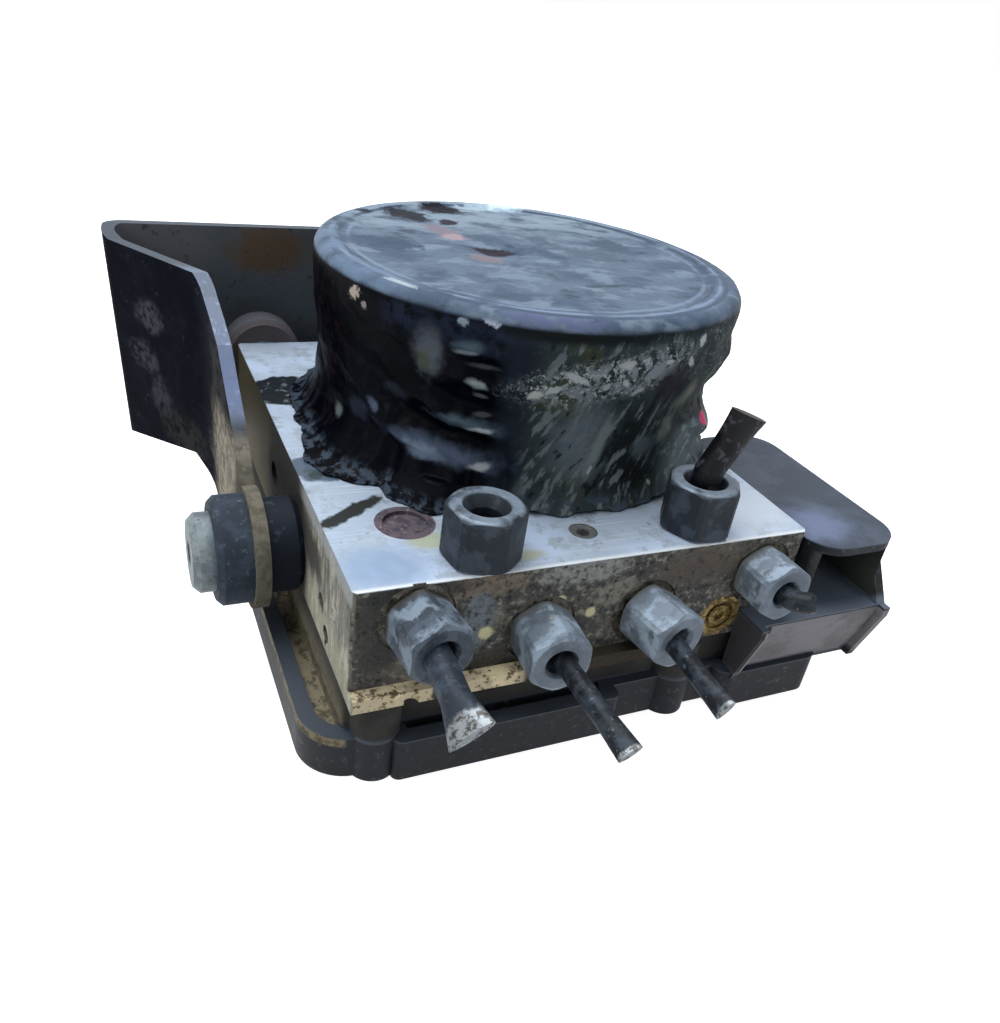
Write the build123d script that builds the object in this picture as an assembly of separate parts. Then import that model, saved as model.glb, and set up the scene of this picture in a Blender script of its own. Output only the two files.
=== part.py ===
from build123d import *
from math import cos, exp, pi, radians, sin
import os

# Anti-lock brake module: an aluminium valve block with a pump motor wrapped in a
# crinkled black boot on top, an electronic control unit (ECU) with its coils below,
# and a bent sheet bracket that carries it on rubber mounts.
# Millimetres. X to the right and Y to the back, seen from the pipe ports. Z up.
# The origin is on the underside of the ECU cover, below the motor's axis.

# ---------------------------------------------------------------- driving sizes

# Valve block
block_width = 100.0
block_depth = 116.0
block_height = 25.0
axis_from_left = 57.3
axis_from_front = 66.5
block_edge = 0.8
foot_step = 3.0
foot_rise = 3.0
foot_width = 75.0

# Control unit
cover_thickness = 2.0
tray_height = 8.0
rim_rise = 2.0
rim_width = 3.4
neck_height = 11.0
tray_outset_left = 7.0
tray_outset_right = 14.0
tray_outset_front = 0.2
tray_outset_back = 5.5
tray_corner = 10.0
nose_outset = 3.6
nose_from_left = 9.0
nose_width = 50.0
foot_corner_width = 29.0
foot_corner_reach = 4.1
foot_corner_radius = 4.0
neck_inset_front = 2.0
ecu_wall = 2.5
seal_inset = 1.35
seal_setback = 1.8
seal_width = 1.0
seal_depth = 1.2
board_thickness = 1.6
board_rise = 1.6
board_gap = 1.0

# Control unit screws
ecu_screw_radius = 1.9
ecu_screw_reach = 7.0
ecu_screw_head_radius = 3.5
ecu_screw_head_height = 3.0
ecu_boss_radius = 5.0
front_screw_from_left = (6.5, 75.0)
front_screw_from_front = 2.2
back_screw_from_left = (6.5, 93.5)
back_screw_from_back = 5.5

# Connector
connector_gap = 0.4
connector_wall = 2.5
connector_lid = 2.0
socket_width = 19.4
socket_height = 14.6
socket_depth = 30.0
socket_rise = 25.4
connector_reach = 5.5
connector_length = 53.5
connector_corner = 8.0
chin_from_right = 12.3
chin_reach_top = 6.8
chin_reach_bottom = 2.2
chin_depth = 17.2
chin_edge = 2.2
chin_rib = 1.8
pin_size = 0.9
pin_pitch = 2.2
pin_columns = 8
pin_row_pitch = 5.0
pin_length = 13.0
pin_row_depth = (0.32, 0.68)

# Brake line ports on the front face
port_from_left = (12.0, 38.0, 62.0, 90.0)
port_rise = (17.5, 10.5, 10.5, 16.1)
port_radius = 5.0
port_depth = 13.0
spot_radius = 7.6
spot_depth = 0.6
line_nut_flats = 12.0
line_nut_length = (11.5, 11.5, 11.5, 9.5)
line_nut_shank = 9.0
line_pipe_radius = (2.75, 2.05, 2.05, 2.3)
line_pipe_wall = 0.7

# Master cylinder ports on the top face
inlet_from_left = (26.1, 75.0)
inlet_from_front = (6.6, 7.4)
inlet_radius = 6.0
inlet_depth = 13.5
inlet_nut_flats = 14.0
inlet_nut_length = 11.0
inlet_nut_shank = 9.5
inlet_pipe_radius = 3.0
inlet_pipe_wall = 1.0
inlet_mouth_radius = 4.4
inlet_mouth_depth = 3.0
nut_chamfer = 1.0
nut_clearance = 0.2
flare_growth = 1.4
flare_length = 2.0

# Pipe stubs, from the block's face outwards: sideways, rise and reach of the round part
stub_ends = ((-0.1, -0.9, 20.5), (0.3, -0.2, 26.0), (-0.6, 0.0, 22.5), (2.4, 0.8, 13.6))
stub_flat_width = (8.8, 4.9, 4.6, 4.4)
stub_flat_thickness = (1.8, 1.3, 1.3, 3.6)
stub_flat_length = (7.5, 8.0, 7.5, 1.0)
stub_flat_turn = (38.0, 30.0, 50.0, 0.0)
stub_bend_radius = 5.0
stub_lead = 1.8
inlet_stub_end = (2.2, -0.8, 19.0)
inlet_flat_width = 9.4
inlet_flat_thickness = 2.2
inlet_flat_length = 7.5
inlet_flat_turn = -8.0

# Plugs in the block
disc_from_left = 15.8
disc_from_front = 20.1
disc_radius = 6.0
disc_depth = 3.0
disc_dish = 0.8
bleed_from_left = 50.1
bleed_from_front = 10.2
bleed_radius = 3.0
bleed_depth = 6.0
cup_from_left = 82.6
cup_rise = 5.4
cup_radius = 5.2
cup_depth = 4.0
ball_radius = 1.9
gallery_from_front = (20.5, 16.2)
gallery_rise = (8.5, 3.6)
gallery_radius = 1.4
gallery_length = (80.0, 34.0)

# Valves
valve_radius = 5.0
valve_rise = 11.0
valve_from_left = (13.0, 37.0, 61.0, 85.0)
valve_rows_from_front = (24.5, 46.0)
sleeve_radius = 4.0
sleeve_drop = 12.6
sleeve_wall = 0.9
valve_land = 2.5
plunger_length = 7.0
plunger_travel = 0.4
plunger_clearance = 0.05
valve_bore_radius = 1.2
coil_radius = 8.4
coil_height = 10.5
coil_yoke_wall = 0.9
bobbin_wall = 0.8
bobbin_flange = 1.0
bobbin_clearance = 0.15

# Pump motor
motor_radius = 44.0
motor_height = 37.0
can_wall = 1.8
can_corner = 5.0
magnet_thickness = 5.2
magnet_arc = 68.0
magnet_count = 4
magnet_height = 20.0
air_gap = 1.0
core_height = 12.0
core_slots = 12
slot_depth_share = 0.556
slot_width_share = 0.776
slot_mouth = 2.0
winding_overhang = 3.2
shaft_radius = 4.0
shaft_end_gap = 0.8
bush_radius = 8.0
bush_length = 4.6
bush_clearance = 0.03
collar_wall = 1.8
commutator_radius = 11.0
commutator_length = 5.0
commutator_bars = 12
commutator_slit = 0.6
commutator_slit_depth = 1.2
end_plate_thickness = 3.0
end_plate_clearance = 0.2
brush_width = 5.0
brush_height = 4.0
brush_length = 9.0
brush_gap = 0.1
holder_wall = 1.0
brush_spring_length = 8.0
brush_spring_wire = 0.3
brush_spring_turns = 4.0
ear_radius = 4.8
ear_stand = 5.0
ear_turns = (230.0, 50.0)
ear_thickness = 2.0
motor_screw_radius = 2.4
motor_screw_reach = 8.0
motor_screw_head_radius = 3.6
motor_screw_head_height = 2.0
lead_from_left = 50.0
lead_inset = 14.0
lead_pitch = 3.0
lead_radius = 0.8
lead_sleeve_radius = 3.4

# Bearing, eccentric and pump
bearing_radius = 11.0
bearing_width = 7.0
race_thickness = 2.0
bearing_balls = 8
bearing_play = 0.04
chamber_clearance = 0.4
chamber_floor = 6.0
pump_rise = 12.0
eccentricity = 1.0
journal_radius = 6.3
journal_length = 7.6
ring_radius = 8.8
ring_length = 7.0
ring_clearance = 0.04
piston_radius = 3.0
piston_length = 16.0
piston_clearance = 0.04
ring_to_piston = 0.06
liner_wall = 1.5
pump_plug_radius = 6.0
pump_plug_length = 6.7
pump_spring_wire = 0.5
pump_spring_length = 6.4
pump_spring_turns = 4.0
outlet_radius = 0.8

# Low pressure accumulators in the back face
accumulator_from_left = (32.0, 68.0)
accumulator_rise = 12.0
accumulator_radius = 9.0
accumulator_depth = 22.0
accumulator_cap_length = 3.0
accumulator_piston_length = 6.5
accumulator_piston_clearance = 0.05
accumulator_cup = 4.0
accumulator_spring_wire = 0.6
accumulator_spring_radius = 5.0
accumulator_spring_turns = 4.0

# Boot over the motor
boot_base_stand = 2.8
boot_growth = 1.4
boot_growth_from = 0.4
boot_top = 3.4
boot_rim = 2.6
boot_dish_inset = 1.4
boot_dish_depth = 0.6
boot_top_shrink = 2.0
boot_points = 48
boot_least_stand = 0.6
boot_levels = (0.0, 1.2, 2.8, 5.0, 7.6, 10.2, 12.8, 15.4, 18.2, 21.4, 25.4, 29.4, 33.4)
# Overhang of the rim: turn and spread of its middle, depth, and share of the height it fades over
rim_lobe = (332.0, 40.0, 1.8)
rim_lobe_fade = (0.5, 0.68)
# Skirt: turn about the motor in degrees, and reach of the hem beyond the can
skirt_hem = (
    (0.0, 5.5), (38.0, 11.0), (50.0, 13.6), (62.0, 11.0), (76.0, 5.5), (134.0, 4.0),
    (146.0, 9.5), (160.0, 11.5), (188.0, 12.0), (200.0, 16.5), (211.0, 13.0), (217.0, 10.5),
    (231.0, 13.5), (238.0, 9.0), (250.0, 5.5), (332.0, 6.5), (360.0, 5.5),
)
skirt_start = 5.0
skirt_climb = 0.62
skirt_curve = 1.9
skirt_spread = 1.25
# Folds: turn and height of both ends, half width and depth
boot_folds = (
    (205.0, 13.0, 244.0, 8.0, 2.8, 3.2),
    (221.0, 19.5, 244.0, 15.5, 2.4, 2.3),
    (228.0, 27.0, 243.0, 24.2, 2.4, 1.2),
    (192.0, 20.0, 214.0, 14.5, 2.8, 1.0),
    (252.0, 28.0, 292.0, 34.5, 2.4, 0.7),
    (300.0, 31.0, 334.0, 26.0, 2.4, 0.9),
    (304.0, 12.5, 326.0, 9.5, 4.2, 3.0),
    (20.0, 14.0, 60.0, 8.0, 2.8, 1.3),
    (60.0, 24.0, 110.0, 16.0, 2.8, 1.1),
    (112.0, 12.0, 150.0, 20.0, 2.6, 1.3),
)
fold_end = 0.3
fold_valley = 0.42
fold_valley_offset = 1.9
# Overlapping flap: turns of its two edges, lean of the first in degrees per millimetre, thickness
flap_edges = (239.0, 304.0)
flap_lean = 0.27
flap_fade = 14.0
flap_thickness = 0.9
# Film drawn over the can's ears and the heads of their screws
ear_film = 1.6
ear_film_spread = 14.0
ear_film_fall = 4.0

# Rubber mounts
mount_left_from_front = 43.0
mount_left_rise = 8.0
mount_back_from_left = (7.0, 93.0)
mount_back_rise = 21.0
mount_standoff = 7.5
mount_neck_radius = 8.0
mount_inner_radius = 10.2
mount_outer_radius = 11.6
mount_outer_length = 7.0
mount_edge = 1.2
sleeve_bore_radius = 3.2
sleeve_outer_radius = 4.6
mount_bolt_radius = 3.0
mount_bolt_reach = 5.8
mount_head_radius = 8.4
mount_head_length = 4.4
mount_head_crown = 1.4
hex_socket_flats = 5.0
hex_socket_depth = 2.4

# Bracket
bracket_sheet = 3.0
bracket_top_rise = 29.0
bracket_corner_fall = 2.4
bracket_back_drop = 2.6
bracket_bend_from_mount = 42.0
bracket_ear_radius = 13.0
bracket_bend_radii = (14.0, 14.0, 4.0)
bracket_right_reach = 9.0
# Flare of the rear panel and lean of the side plate, at the bottom and the top
bracket_flare = (19.5, 23.2)
bracket_lean = (0.6, 2.4)
# Edges of the side plate, from the left mount: back and up
bracket_upper_edge = (
    (4.0, 8.0), (8.0, 13.5), (15.5, 21.5), (22.0, 28.5), (27.0, 34.5), (33.0, 38.0),
    (39.0, 41.0), (44.0, 45.0),
)
bracket_lower_edge = ((23.0, -10.0), (41.0, -6.5), (48.0, -2.0))
bracket_hole_radius = 4.25
bracket_hole_spacing = 30.0
bracket_hole_rise = 16.0

# ------------------------------------------------------------- derived positions

left = -axis_from_left
right = left + block_width
front = -axis_from_front
back = front + block_depth
deck = cover_thickness + tray_height
bottom = deck + neck_height
top = bottom + block_height

tray_left = left - tray_outset_left
tray_right = right + tray_outset_right
tray_front = front - tray_outset_front
tray_back = back + tray_outset_back
neck_front = front + neck_inset_front

screw_spots = [(left + x, front + front_screw_from_front) for x in front_screw_from_left]
screw_spots += [(left + x, back - back_screw_from_back) for x in back_screw_from_left]

socket_left = right + connector_gap + connector_wall
socket_right = socket_left + socket_width
socket_bottom = cover_thickness + socket_rise
socket_top = socket_bottom + socket_height
shell_left = socket_left - connector_wall
shell_right = socket_right + connector_wall
shell_top = socket_top + connector_lid
shell_front = front - connector_reach
shell_back = shell_front + connector_length
socket_end = shell_front + socket_depth
chin_left = right - chin_from_right
chin_top = socket_bottom
chin_bottom = chin_top - chin_depth
duct_front = socket_end + connector_wall
duct_back = shell_back - connector_wall

board_bottom = cover_thickness + board_rise
board_top = board_bottom + board_thickness

pump_height = bottom + pump_rise
chamber_radius = ring_radius + eccentricity + chamber_clearance
valve_top = bottom + valve_rise
coil_bottom = bottom - coil_height - bobbin_flange
motor_top = top + motor_height
can_ceiling = motor_top - can_wall
bearing_bottom = top - bearing_width
shaft_top = can_ceiling - shaft_end_gap
end_plate_top = top + end_plate_thickness
commutator_bottom = end_plate_top + brush_gap
commutator_top = commutator_bottom + commutator_length
core_bottom = commutator_top + winding_overhang + brush_gap
core_top = core_bottom + core_height
core_radius = motor_radius - can_wall - magnet_thickness - air_gap
slot_depth = slot_depth_share * core_radius
slot_width = slot_width_share * 2 * pi * (core_radius - slot_depth) / core_slots
journal_bottom = pump_height - journal_length / 2
journal_top = pump_height + journal_length / 2
piston_start = ring_radius + eccentricity + ring_to_piston
piston_end = piston_start + piston_length
ceiling_of_boot = motor_top + boot_top
boot_base_radius = motor_radius + boot_base_stand
boot_height = motor_height + boot_top
boot_dish_radius = motor_radius - boot_dish_inset

plate_front = back + mount_standoff
plate_back = plate_front + bracket_sheet
side_inner = left - mount_standoff
mount_left_y = front + mount_left_from_front
mount_left_z = bottom + mount_left_rise
mount_back_z = bottom + mount_back_rise
bracket_top = top + bracket_top_rise
bracket_bottom = bottom - bracket_back_drop

# ------------------------------------------------------------------ small tools


def block_of(x0, x1, y0, y1, z0, z1):
    """Straight-sided block between two opposite corners."""
    middle = Pos((x0 + x1) / 2, (y0 + y1) / 2, (z0 + z1) / 2)
    return middle * Box(abs(x1 - x0), abs(y1 - y0), abs(z1 - z0))


def slab(x0, x1, y0, y1, z0, z1, corner):
    """Block with its four upright edges rounded."""
    outline = Pos((x0 + x1) / 2, (y0 + y1) / 2, z0) * RectangleRounded(x1 - x0, y1 - y0, corner)
    return extrude(outline, z1 - z0, dir=(0, 0, 1))


def rod(start, end, radius):
    """Round bar between two points."""
    start = Vector(*start)
    run = Vector(*end) - start
    return extrude(Plane(origin=start, z_dir=run) * Circle(radius), run.length)


def tube(start, end, outer, inner):
    """Round bar with a hole along it."""
    return rod(start, end, outer) - rod(start, end, inner)


def upright(x, y, z0, z1, radius):
    """Round bar that stands along Z."""
    return rod((x, y, z0), (x, y, z1), radius)


def spin(points, axis=Axis.Z):
    """Solid of revolution from (radius, height) points."""
    outline = Polyline(*[(r, 0, z) for r, z in points], close=True)
    return revolve(make_face(outline), axis)


def group(shapes):
    """Separate solids that share one node."""
    return Compound(children=list(shapes))


def facing(x, y, z, outward):
    """Placement whose local Z points out of a face of the block."""
    side = (0, 0, 1) if abs(outward[2]) < 0.5 else (0, 1, 0)
    return Plane(origin=(x, y, z), x_dir=Vector(*side).cross(Vector(*outward)), z_dir=outward)


def coil_spring(radius, wire, length, turns):
    """Round-wire compression spring that stands on z = 0."""
    line = Helix(pitch=(length - 2 * wire) / turns, height=length - 2 * wire, radius=radius)
    start = Plane(origin=line @ 0, z_dir=line % 0)
    return Pos(0, 0, wire) * sweep(start * Circle(wire), path=line)


# Placements of the ports: local Z runs out of the block
front_ports = [
    facing(left + x, front, bottom + rise, (0, -1, 0))
    for x, rise in zip(port_from_left, port_rise)
]
top_ports = [
    facing(left + x, front + y, top, (0, 0, 1))
    for x, y in zip(inlet_from_left, inlet_from_front)
]
left_mount = facing(left, mount_left_y, mount_left_z, (-1, 0, 0))
back_mounts = [facing(left + x, back, mount_back_z, (0, 1, 0)) for x in mount_back_from_left]
accumulators = [
    facing(left + x, back, bottom + accumulator_rise, (0, 1, 0)) for x in accumulator_from_left
]
valve_spots = [
    (left + x, front + y) for y in valve_rows_from_front for x in valve_from_left
]
ear_reach = motor_radius + ear_stand
ear_spots = [(ear_reach * cos(radians(turn)), ear_reach * sin(radians(turn))) for turn in ear_turns]
lead_x = left + lead_from_left
lead_from_axis = motor_radius - lead_inset
lead_spots = [(lead_x + side * lead_pitch / 2, lead_from_axis) for side in (-1, 1)]

# ------------------------------------------------------------------ valve block


def valve_block():
    """Milled aluminium block with every port, bore and drilling that it holds."""
    body = block_of(left, right, front, back, bottom, top)
    body = chamfer(body.edges().filter_by(Axis.Z), block_edge)
    foot = block_of(
        left, left + foot_width, front - foot_step, front + foot_step, bottom, bottom + foot_rise
    )
    notch_x = screw_spots[0][0] + ecu_boss_radius
    foot -= upright(notch_x, front - foot_step, bottom, bottom + foot_rise / 2, foot_step / 2)
    body += foot
    for port in front_ports:
        body -= port.location * Pos(0, 0, -spot_depth) * Cylinder(
            spot_radius, 2 * foot_step + spot_depth, align=(Align.CENTER, Align.CENTER, Align.MIN)
        )
        body -= port.location * rod((0, 0, 0), (0, 0, -port_depth), port_radius)
    for port in top_ports:
        body -= port.location * rod((0, 0, 0), (0, 0, -inlet_depth), inlet_radius)
    return body - block_bores() - block_drillings()


def block_bores():
    """Bores for the valves, pump, motor, accumulators, plugs and screws."""
    cuts = [upright(0, 0, bottom + chamber_floor, top, chamber_radius)]
    cuts.append(upright(0, 0, bearing_bottom, top, bearing_radius))
    for side, face in ((-1, left), (1, right)):
        cuts.append(rod((0, 0, pump_height), (face, 0, pump_height), piston_radius + liner_wall))
        plug_end = face - side * pump_plug_length
        cuts.append(rod((plug_end, 0, pump_height), (face, 0, pump_height), pump_plug_radius))
    for x, y in valve_spots:
        cuts.append(upright(x, y, bottom, valve_top, valve_radius))
    for bore in accumulators:
        cuts.append(bore.location * rod((0, 0, 0), (0, 0, -accumulator_depth), accumulator_radius))
    disc = (left + disc_from_left, front + disc_from_front)
    cuts.append(upright(*disc, top - disc_depth, top, disc_radius))
    bleed = (left + bleed_from_left, front + bleed_from_front)
    cuts.append(upright(*bleed, top - bleed_depth, top, bleed_radius))
    cup = (left + cup_from_left, front, bottom + cup_rise)
    cuts.append(rod(cup, (cup[0], front + cup_depth, cup[2]), cup_radius))
    for x, y in screw_spots:
        cuts.append(upright(x, y, bottom, bottom + ecu_screw_reach, ecu_screw_radius))
    for x, y in ear_spots:
        cuts.append(upright(x, y, top - motor_screw_reach, top, motor_screw_radius))
    for mount in [left_mount] + back_mounts:
        cuts.append(mount.location * rod((0, 0, 0), (0, 0, -mount_bolt_reach), mount_bolt_radius))
    cuts.append(upright(lead_x, lead_from_axis, bottom, top, lead_sleeve_radius))
    return Part() + cuts


def block_drillings():
    """Fluid drillings between the ports, valves and galleries."""
    cuts = []
    row = front + valve_rows_from_front[0]
    for x, rise, valve_x in zip(port_from_left, port_rise, valve_from_left):
        level = bottom + rise
        start = (left + x, front + port_depth, level)
        end = (left + valve_x, row, level)
        cuts.append(rod(start, end, gallery_radius))
        cuts.append(upright(end[0], row, bottom, level, valve_bore_radius))
    for y, rise, run in zip(gallery_from_front, gallery_rise, gallery_length):
        start = (left, front + y, bottom + rise)
        cuts.append(rod(start, (left + run, start[1], start[2]), gallery_radius))
        cuts.append(rod(start, (left + 2 * ball_radius, start[1], start[2]), ball_radius))
    return Part() + cuts


def dished_plug(radius, depth, dish):
    """Pressed-in plug with a dished outer face at local z = 0."""
    body = rod((0, 0, 0), (0, 0, -depth), radius)
    return body - rod((0, 0, 0), (0, 0, -dish), radius - 2 * dish)


def expander_plug():
    place = Pos(left + disc_from_left, front + disc_from_front, top)
    return place * dished_plug(disc_radius, disc_depth, disc_dish)


def cup_plug():
    """Crimped brass plug in the front face, with a raised centre ring."""
    place = facing(left + cup_from_left, front, bottom + cup_rise, (0, -1, 0))
    ring = tube((0, 0, -cup_depth), (0, 0, 0), cup_radius / 2, cup_radius / 4)
    return place.location * (dished_plug(cup_radius, cup_depth, disc_dish) + ring)


def bleed_screw():
    """Sealing screw sunk in the top face, with a hexagon socket."""
    body = upright(0, 0, -bleed_depth, -disc_dish / 2, bleed_radius)
    body -= extrude(Pos(0, 0, -bleed_depth / 2) * RegularPolygon(bleed_radius / 2, 6), bleed_depth)
    return Pos(left + bleed_from_left, front + bleed_from_front, top) * body


def gallery_balls():
    """Steel balls pressed into the ends of the cross drillings."""
    return group(
        Pos(left + ball_radius, front + y, bottom + rise) * Sphere(ball_radius)
        for y, rise in zip(gallery_from_front, gallery_rise)
    )


# ------------------------------------------------------------- nuts and pipes


def union_nut(flats, length, shank_radius, shank, bore, mouth=0.0, mouth_depth=0.0):
    """Hexagon pipe nut: thread into the block below z = 0, hexagon above it."""
    hexagon = extrude(RegularPolygon(flats / 2, 6, major_radius=False), length)
    reach = flats / 2 / cos(pi / 6)
    shoulder = length - nut_chamfer / 2
    bevel = spin([(0, 0), (reach, 0), (reach, shoulder), (reach - nut_chamfer, length), (0, length)])
    body = (hexagon & bevel) + rod((0, 0, -shank), (0, 0, 0), shank_radius)
    body -= rod((0, 0, -shank), (0, 0, length), bore)
    if mouth:
        body -= rod((0, 0, length - mouth_depth), (0, 0, length), mouth)
    return body


def line_nuts():
    """Nuts of the four wheel lines, in a row on the front face."""
    return group(
        port.location
        * union_nut(line_nut_flats, length, port_radius, line_nut_shank, pipe + nut_clearance)
        for port, length, pipe in zip(front_ports, line_nut_length, line_pipe_radius)
    )


def inlet_nuts():
    """Larger nuts of the master cylinder lines. The first is empty and shows its bore."""
    bore = inlet_pipe_radius + nut_clearance
    body = (inlet_nut_flats, inlet_nut_length, inlet_radius, inlet_nut_shank, bore)
    return group(
        port.location * union_nut(*body, mouth, inlet_mouth_depth)
        for port, mouth in zip(top_ports, (inlet_mouth_radius, 0.0))
    )


def pipe_stub(radius, wall, shank, end, bend_radius, nut_length, flat):
    """Steel pipe: flared end below the nut, straight run, bend, and crushed cut end."""
    width, thickness, length, turn = flat
    seat = -shank - flare_length
    line = FilletPolyline(
        (0, 0, seat), (0, 0, nut_length + stub_lead), end, radius=bend_radius
    )
    start = Plane(origin=line @ 0, z_dir=line % 0)
    finish = Plane(origin=line @ 1, x_dir=(cos(radians(turn)), sin(radians(turn)), 0), z_dir=line % 1)
    body = sweep(start * Circle(radius), path=line)
    squashed = finish.offset(length) * Ellipse(width / 2, thickness / 2)
    body += loft([finish * Circle(radius), squashed])
    wide = radius + flare_growth
    middle = seat + flare_length / 2
    flare = spin([(0, seat), (wide, seat), (wide, middle), (radius, -shank), (0, -shank)])
    return (body + flare) - sweep(start * Circle(radius - wall), path=line)


def line_stub(index):
    flat = (
        stub_flat_width[index],
        stub_flat_thickness[index],
        stub_flat_length[index],
        stub_flat_turn[index],
    )
    stub = pipe_stub(
        line_pipe_radius[index], line_pipe_wall, line_nut_shank, stub_ends[index],
        stub_bend_radius, line_nut_length[index], flat,
    )
    return front_ports[index].location * stub


def inlet_stub():
    flat = (inlet_flat_width, inlet_flat_thickness, inlet_flat_length, inlet_flat_turn)
    stub = pipe_stub(
        inlet_pipe_radius, inlet_pipe_wall, inlet_nut_shank, inlet_stub_end,
        stub_bend_radius, inlet_nut_length, flat,
    )
    return top_ports[1].location * stub


# ----------------------------------------------------------------- control unit


def tray_outline(inset=0.0):
    """Outline of the flat tray that the board lies in."""
    middle = Pos((tray_left + tray_right) / 2, (tray_front + tray_back) / 2)
    shape = middle * RectangleRounded(tray_right - tray_left, tray_back - tray_front, tray_corner)
    nose = Pos(left + nose_from_left + nose_width / 2, tray_front)
    shape += nose * RectangleRounded(nose_width, 2 * nose_outset, nose_outset / 2)
    corner_front = front - foot_corner_reach
    foot = Pos(tray_right - foot_corner_width / 2, corner_front + tray_corner)
    shape += foot * RectangleRounded(foot_corner_width, 2 * tray_corner, foot_corner_radius)
    wing = Pos((right + shell_right) / 2 - ecu_wall, (socket_end + shell_back) / 2)
    wing_depth = shell_back - socket_end + 2 * ecu_wall
    shape += wing * RectangleRounded(shell_right - right, wing_depth, tray_corner / 2)
    return offset(shape, -inset) if inset else shape


def screw_ears(radius, z0, z1):
    return Part() + [upright(x, y, z0, z1, radius) for x, y in screw_spots]


def ecu_housing():
    """Moulded housing: tray with a raised rim, neck round the coils, and connector."""
    low = cover_thickness
    body = extrude(Pos(0, 0, low) * tray_outline(), tray_height)
    rim = extrude(Pos(0, 0, deck) * (tray_outline() - tray_outline(rim_width)), rim_rise)
    body += rim
    body += slab(left, right, neck_front, back, low, bottom, ecu_wall)
    body += screw_ears(ecu_boss_radius, low, bottom)
    body += connector_shell()
    body -= extrude(Pos(0, 0, low) * tray_outline(rim_width + ecu_wall / 2), tray_height - ecu_wall)
    body -= slab(
        left + ecu_wall, right - ecu_wall, neck_front + ecu_wall + seal_setback, back - ecu_wall,
        low, bottom, ecu_wall,
    )
    duct = (socket_left, socket_right - ecu_wall, duct_front, duct_back)
    body -= block_of(*duct, deck - 2 * ecu_wall, socket_top)
    body += screw_ears(ecu_boss_radius - ecu_wall / 4, low, bottom) & slab(
        left, right, neck_front - 2 * ecu_boss_radius, back, low, bottom, ecu_wall
    )
    mouth = (socket_left, socket_right, shell_front - chin_reach_top, socket_end)
    body -= block_of(*mouth, socket_bottom, socket_top)
    body -= screw_ears(ecu_screw_radius + nut_clearance, 0, bottom)
    body -= screw_ears(ecu_screw_head_radius + nut_clearance, 0, low + ecu_screw_head_height)
    body -= seal_ring(seal_depth)
    return body - connector_pins() - block_foot_room()


def block_foot_room():
    """Room for the block's foot, which stands on the front bosses."""
    end = left + foot_width + nut_clearance
    return block_of(left, end, front - 2 * foot_step, front, bottom, bottom + foot_rise)


def side_slice(points, x0, x1):
    """Slice between x0 and x1 of a shape given by its (y, z) outline."""
    outline = make_face(Polyline(*[(x0, y, z) for y, z in points], close=True))
    return extrude(outline, x1 - x0, dir=(1, 0, 0))


def connector_shell():
    """Connector socket beside the block, with a sloping chin and two ribs in front."""
    shell = slab(
        shell_left, shell_right, shell_front, shell_back,
        socket_bottom - connector_wall, shell_top, connector_corner,
    )
    inner = front - nut_clearance
    shell += block_of(shell_left, shell_right, inner, shell_back, chin_bottom, socket_bottom)
    chin = [
        (inner, chin_top),
        (front - chin_reach_top, chin_top),
        (front - chin_reach_top, chin_top - chin_edge),
        (front - chin_reach_bottom, chin_bottom),
        (inner, chin_bottom),
    ]
    chin_left = right - chin_from_right
    shell += side_slice(chin, chin_left, shell_right)
    rib = [(inner, chin_top)] + [(y - chin_rib, z) for y, z in chin[1:4]] + [(inner, chin_bottom)]
    for x in (chin_left, shell_right - chin_rib):
        shell += side_slice(rib, x, x + chin_rib)
    cheek = [
        (shell_front + connector_corner, socket_top),
        (front - chin_reach_top, chin_top),
        (shell_front + connector_corner, chin_top),
    ]
    return shell + side_slice(cheek, shell_right - connector_wall, shell_right)


def connector_pins():
    """Two rows of square terminals that turn down to the board."""
    pins = []
    centre = (socket_left + socket_right) / 2
    middle = (socket_bottom + socket_top) / 2
    for side, drop in zip((-1, 1), pin_row_depth):
        z = middle + side * pin_row_pitch / 2
        y = duct_front + drop * (duct_back - duct_front)
        for column in range(pin_columns):
            x = centre + (column - (pin_columns - 1) / 2) * pin_pitch
            half = pin_size / 2
            tip = socket_end - pin_length
            pin = block_of(x - half, x + half, tip, y + half, z - half, z + half)
            pin += block_of(x - half, x + half, y - half, y + half, board_top, z + half)
            pins.append(pin)
    return group(pins)


def seal_path(inset, width, z0, z1):
    seal_front = neck_front + seal_setback
    outer = slab(
        left + inset, right - inset, seal_front + inset, back - inset, z0, z1, ecu_wall
    )
    inset += width
    return outer - slab(
        left + inset, right - inset, seal_front + inset, back - inset, z0, z1, ecu_wall
    )


def seal_ring(depth):
    """Rubber seal in a groove round the top of the neck."""
    return seal_path(seal_inset, seal_width, bottom - depth, bottom)


def ecu_cover():
    """Flat bottom cover, stiffened by two shallow cross grooves inside."""
    plate = extrude(tray_outline(rim_width), cover_thickness)
    return plate - screw_ears(ecu_boss_radius + nut_clearance, 0, cover_thickness)


def circuit_board():
    inset = rim_width + ecu_wall + board_gap
    board = extrude(Pos(0, 0, board_bottom) * tray_outline(inset), board_thickness)
    return board - screw_ears(ecu_boss_radius + board_gap, board_bottom, board_top)


def ecu_screws():
    """Four screws from below, through the bosses into the block."""
    screws = []
    for x, y in screw_spots:
        head_top = cover_thickness + ecu_screw_head_height
        screw = upright(x, y, head_top, bottom + ecu_screw_reach, ecu_screw_radius)
        screw += upright(x, y, cover_thickness, head_top, ecu_screw_head_radius)
        socket = Pos(x, y, cover_thickness) * RegularPolygon(ecu_screw_radius, 6)
        screws.append(screw - extrude(socket, ecu_screw_head_height / 2, dir=(0, 0, 1)))
    return group(screws)


# --------------------------------------------------------------- solenoid valves

plunger_radius = sleeve_radius - sleeve_wall - plunger_clearance
sleeve_bottom = bottom - sleeve_drop
sleeve_floor = sleeve_bottom + sleeve_wall


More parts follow.
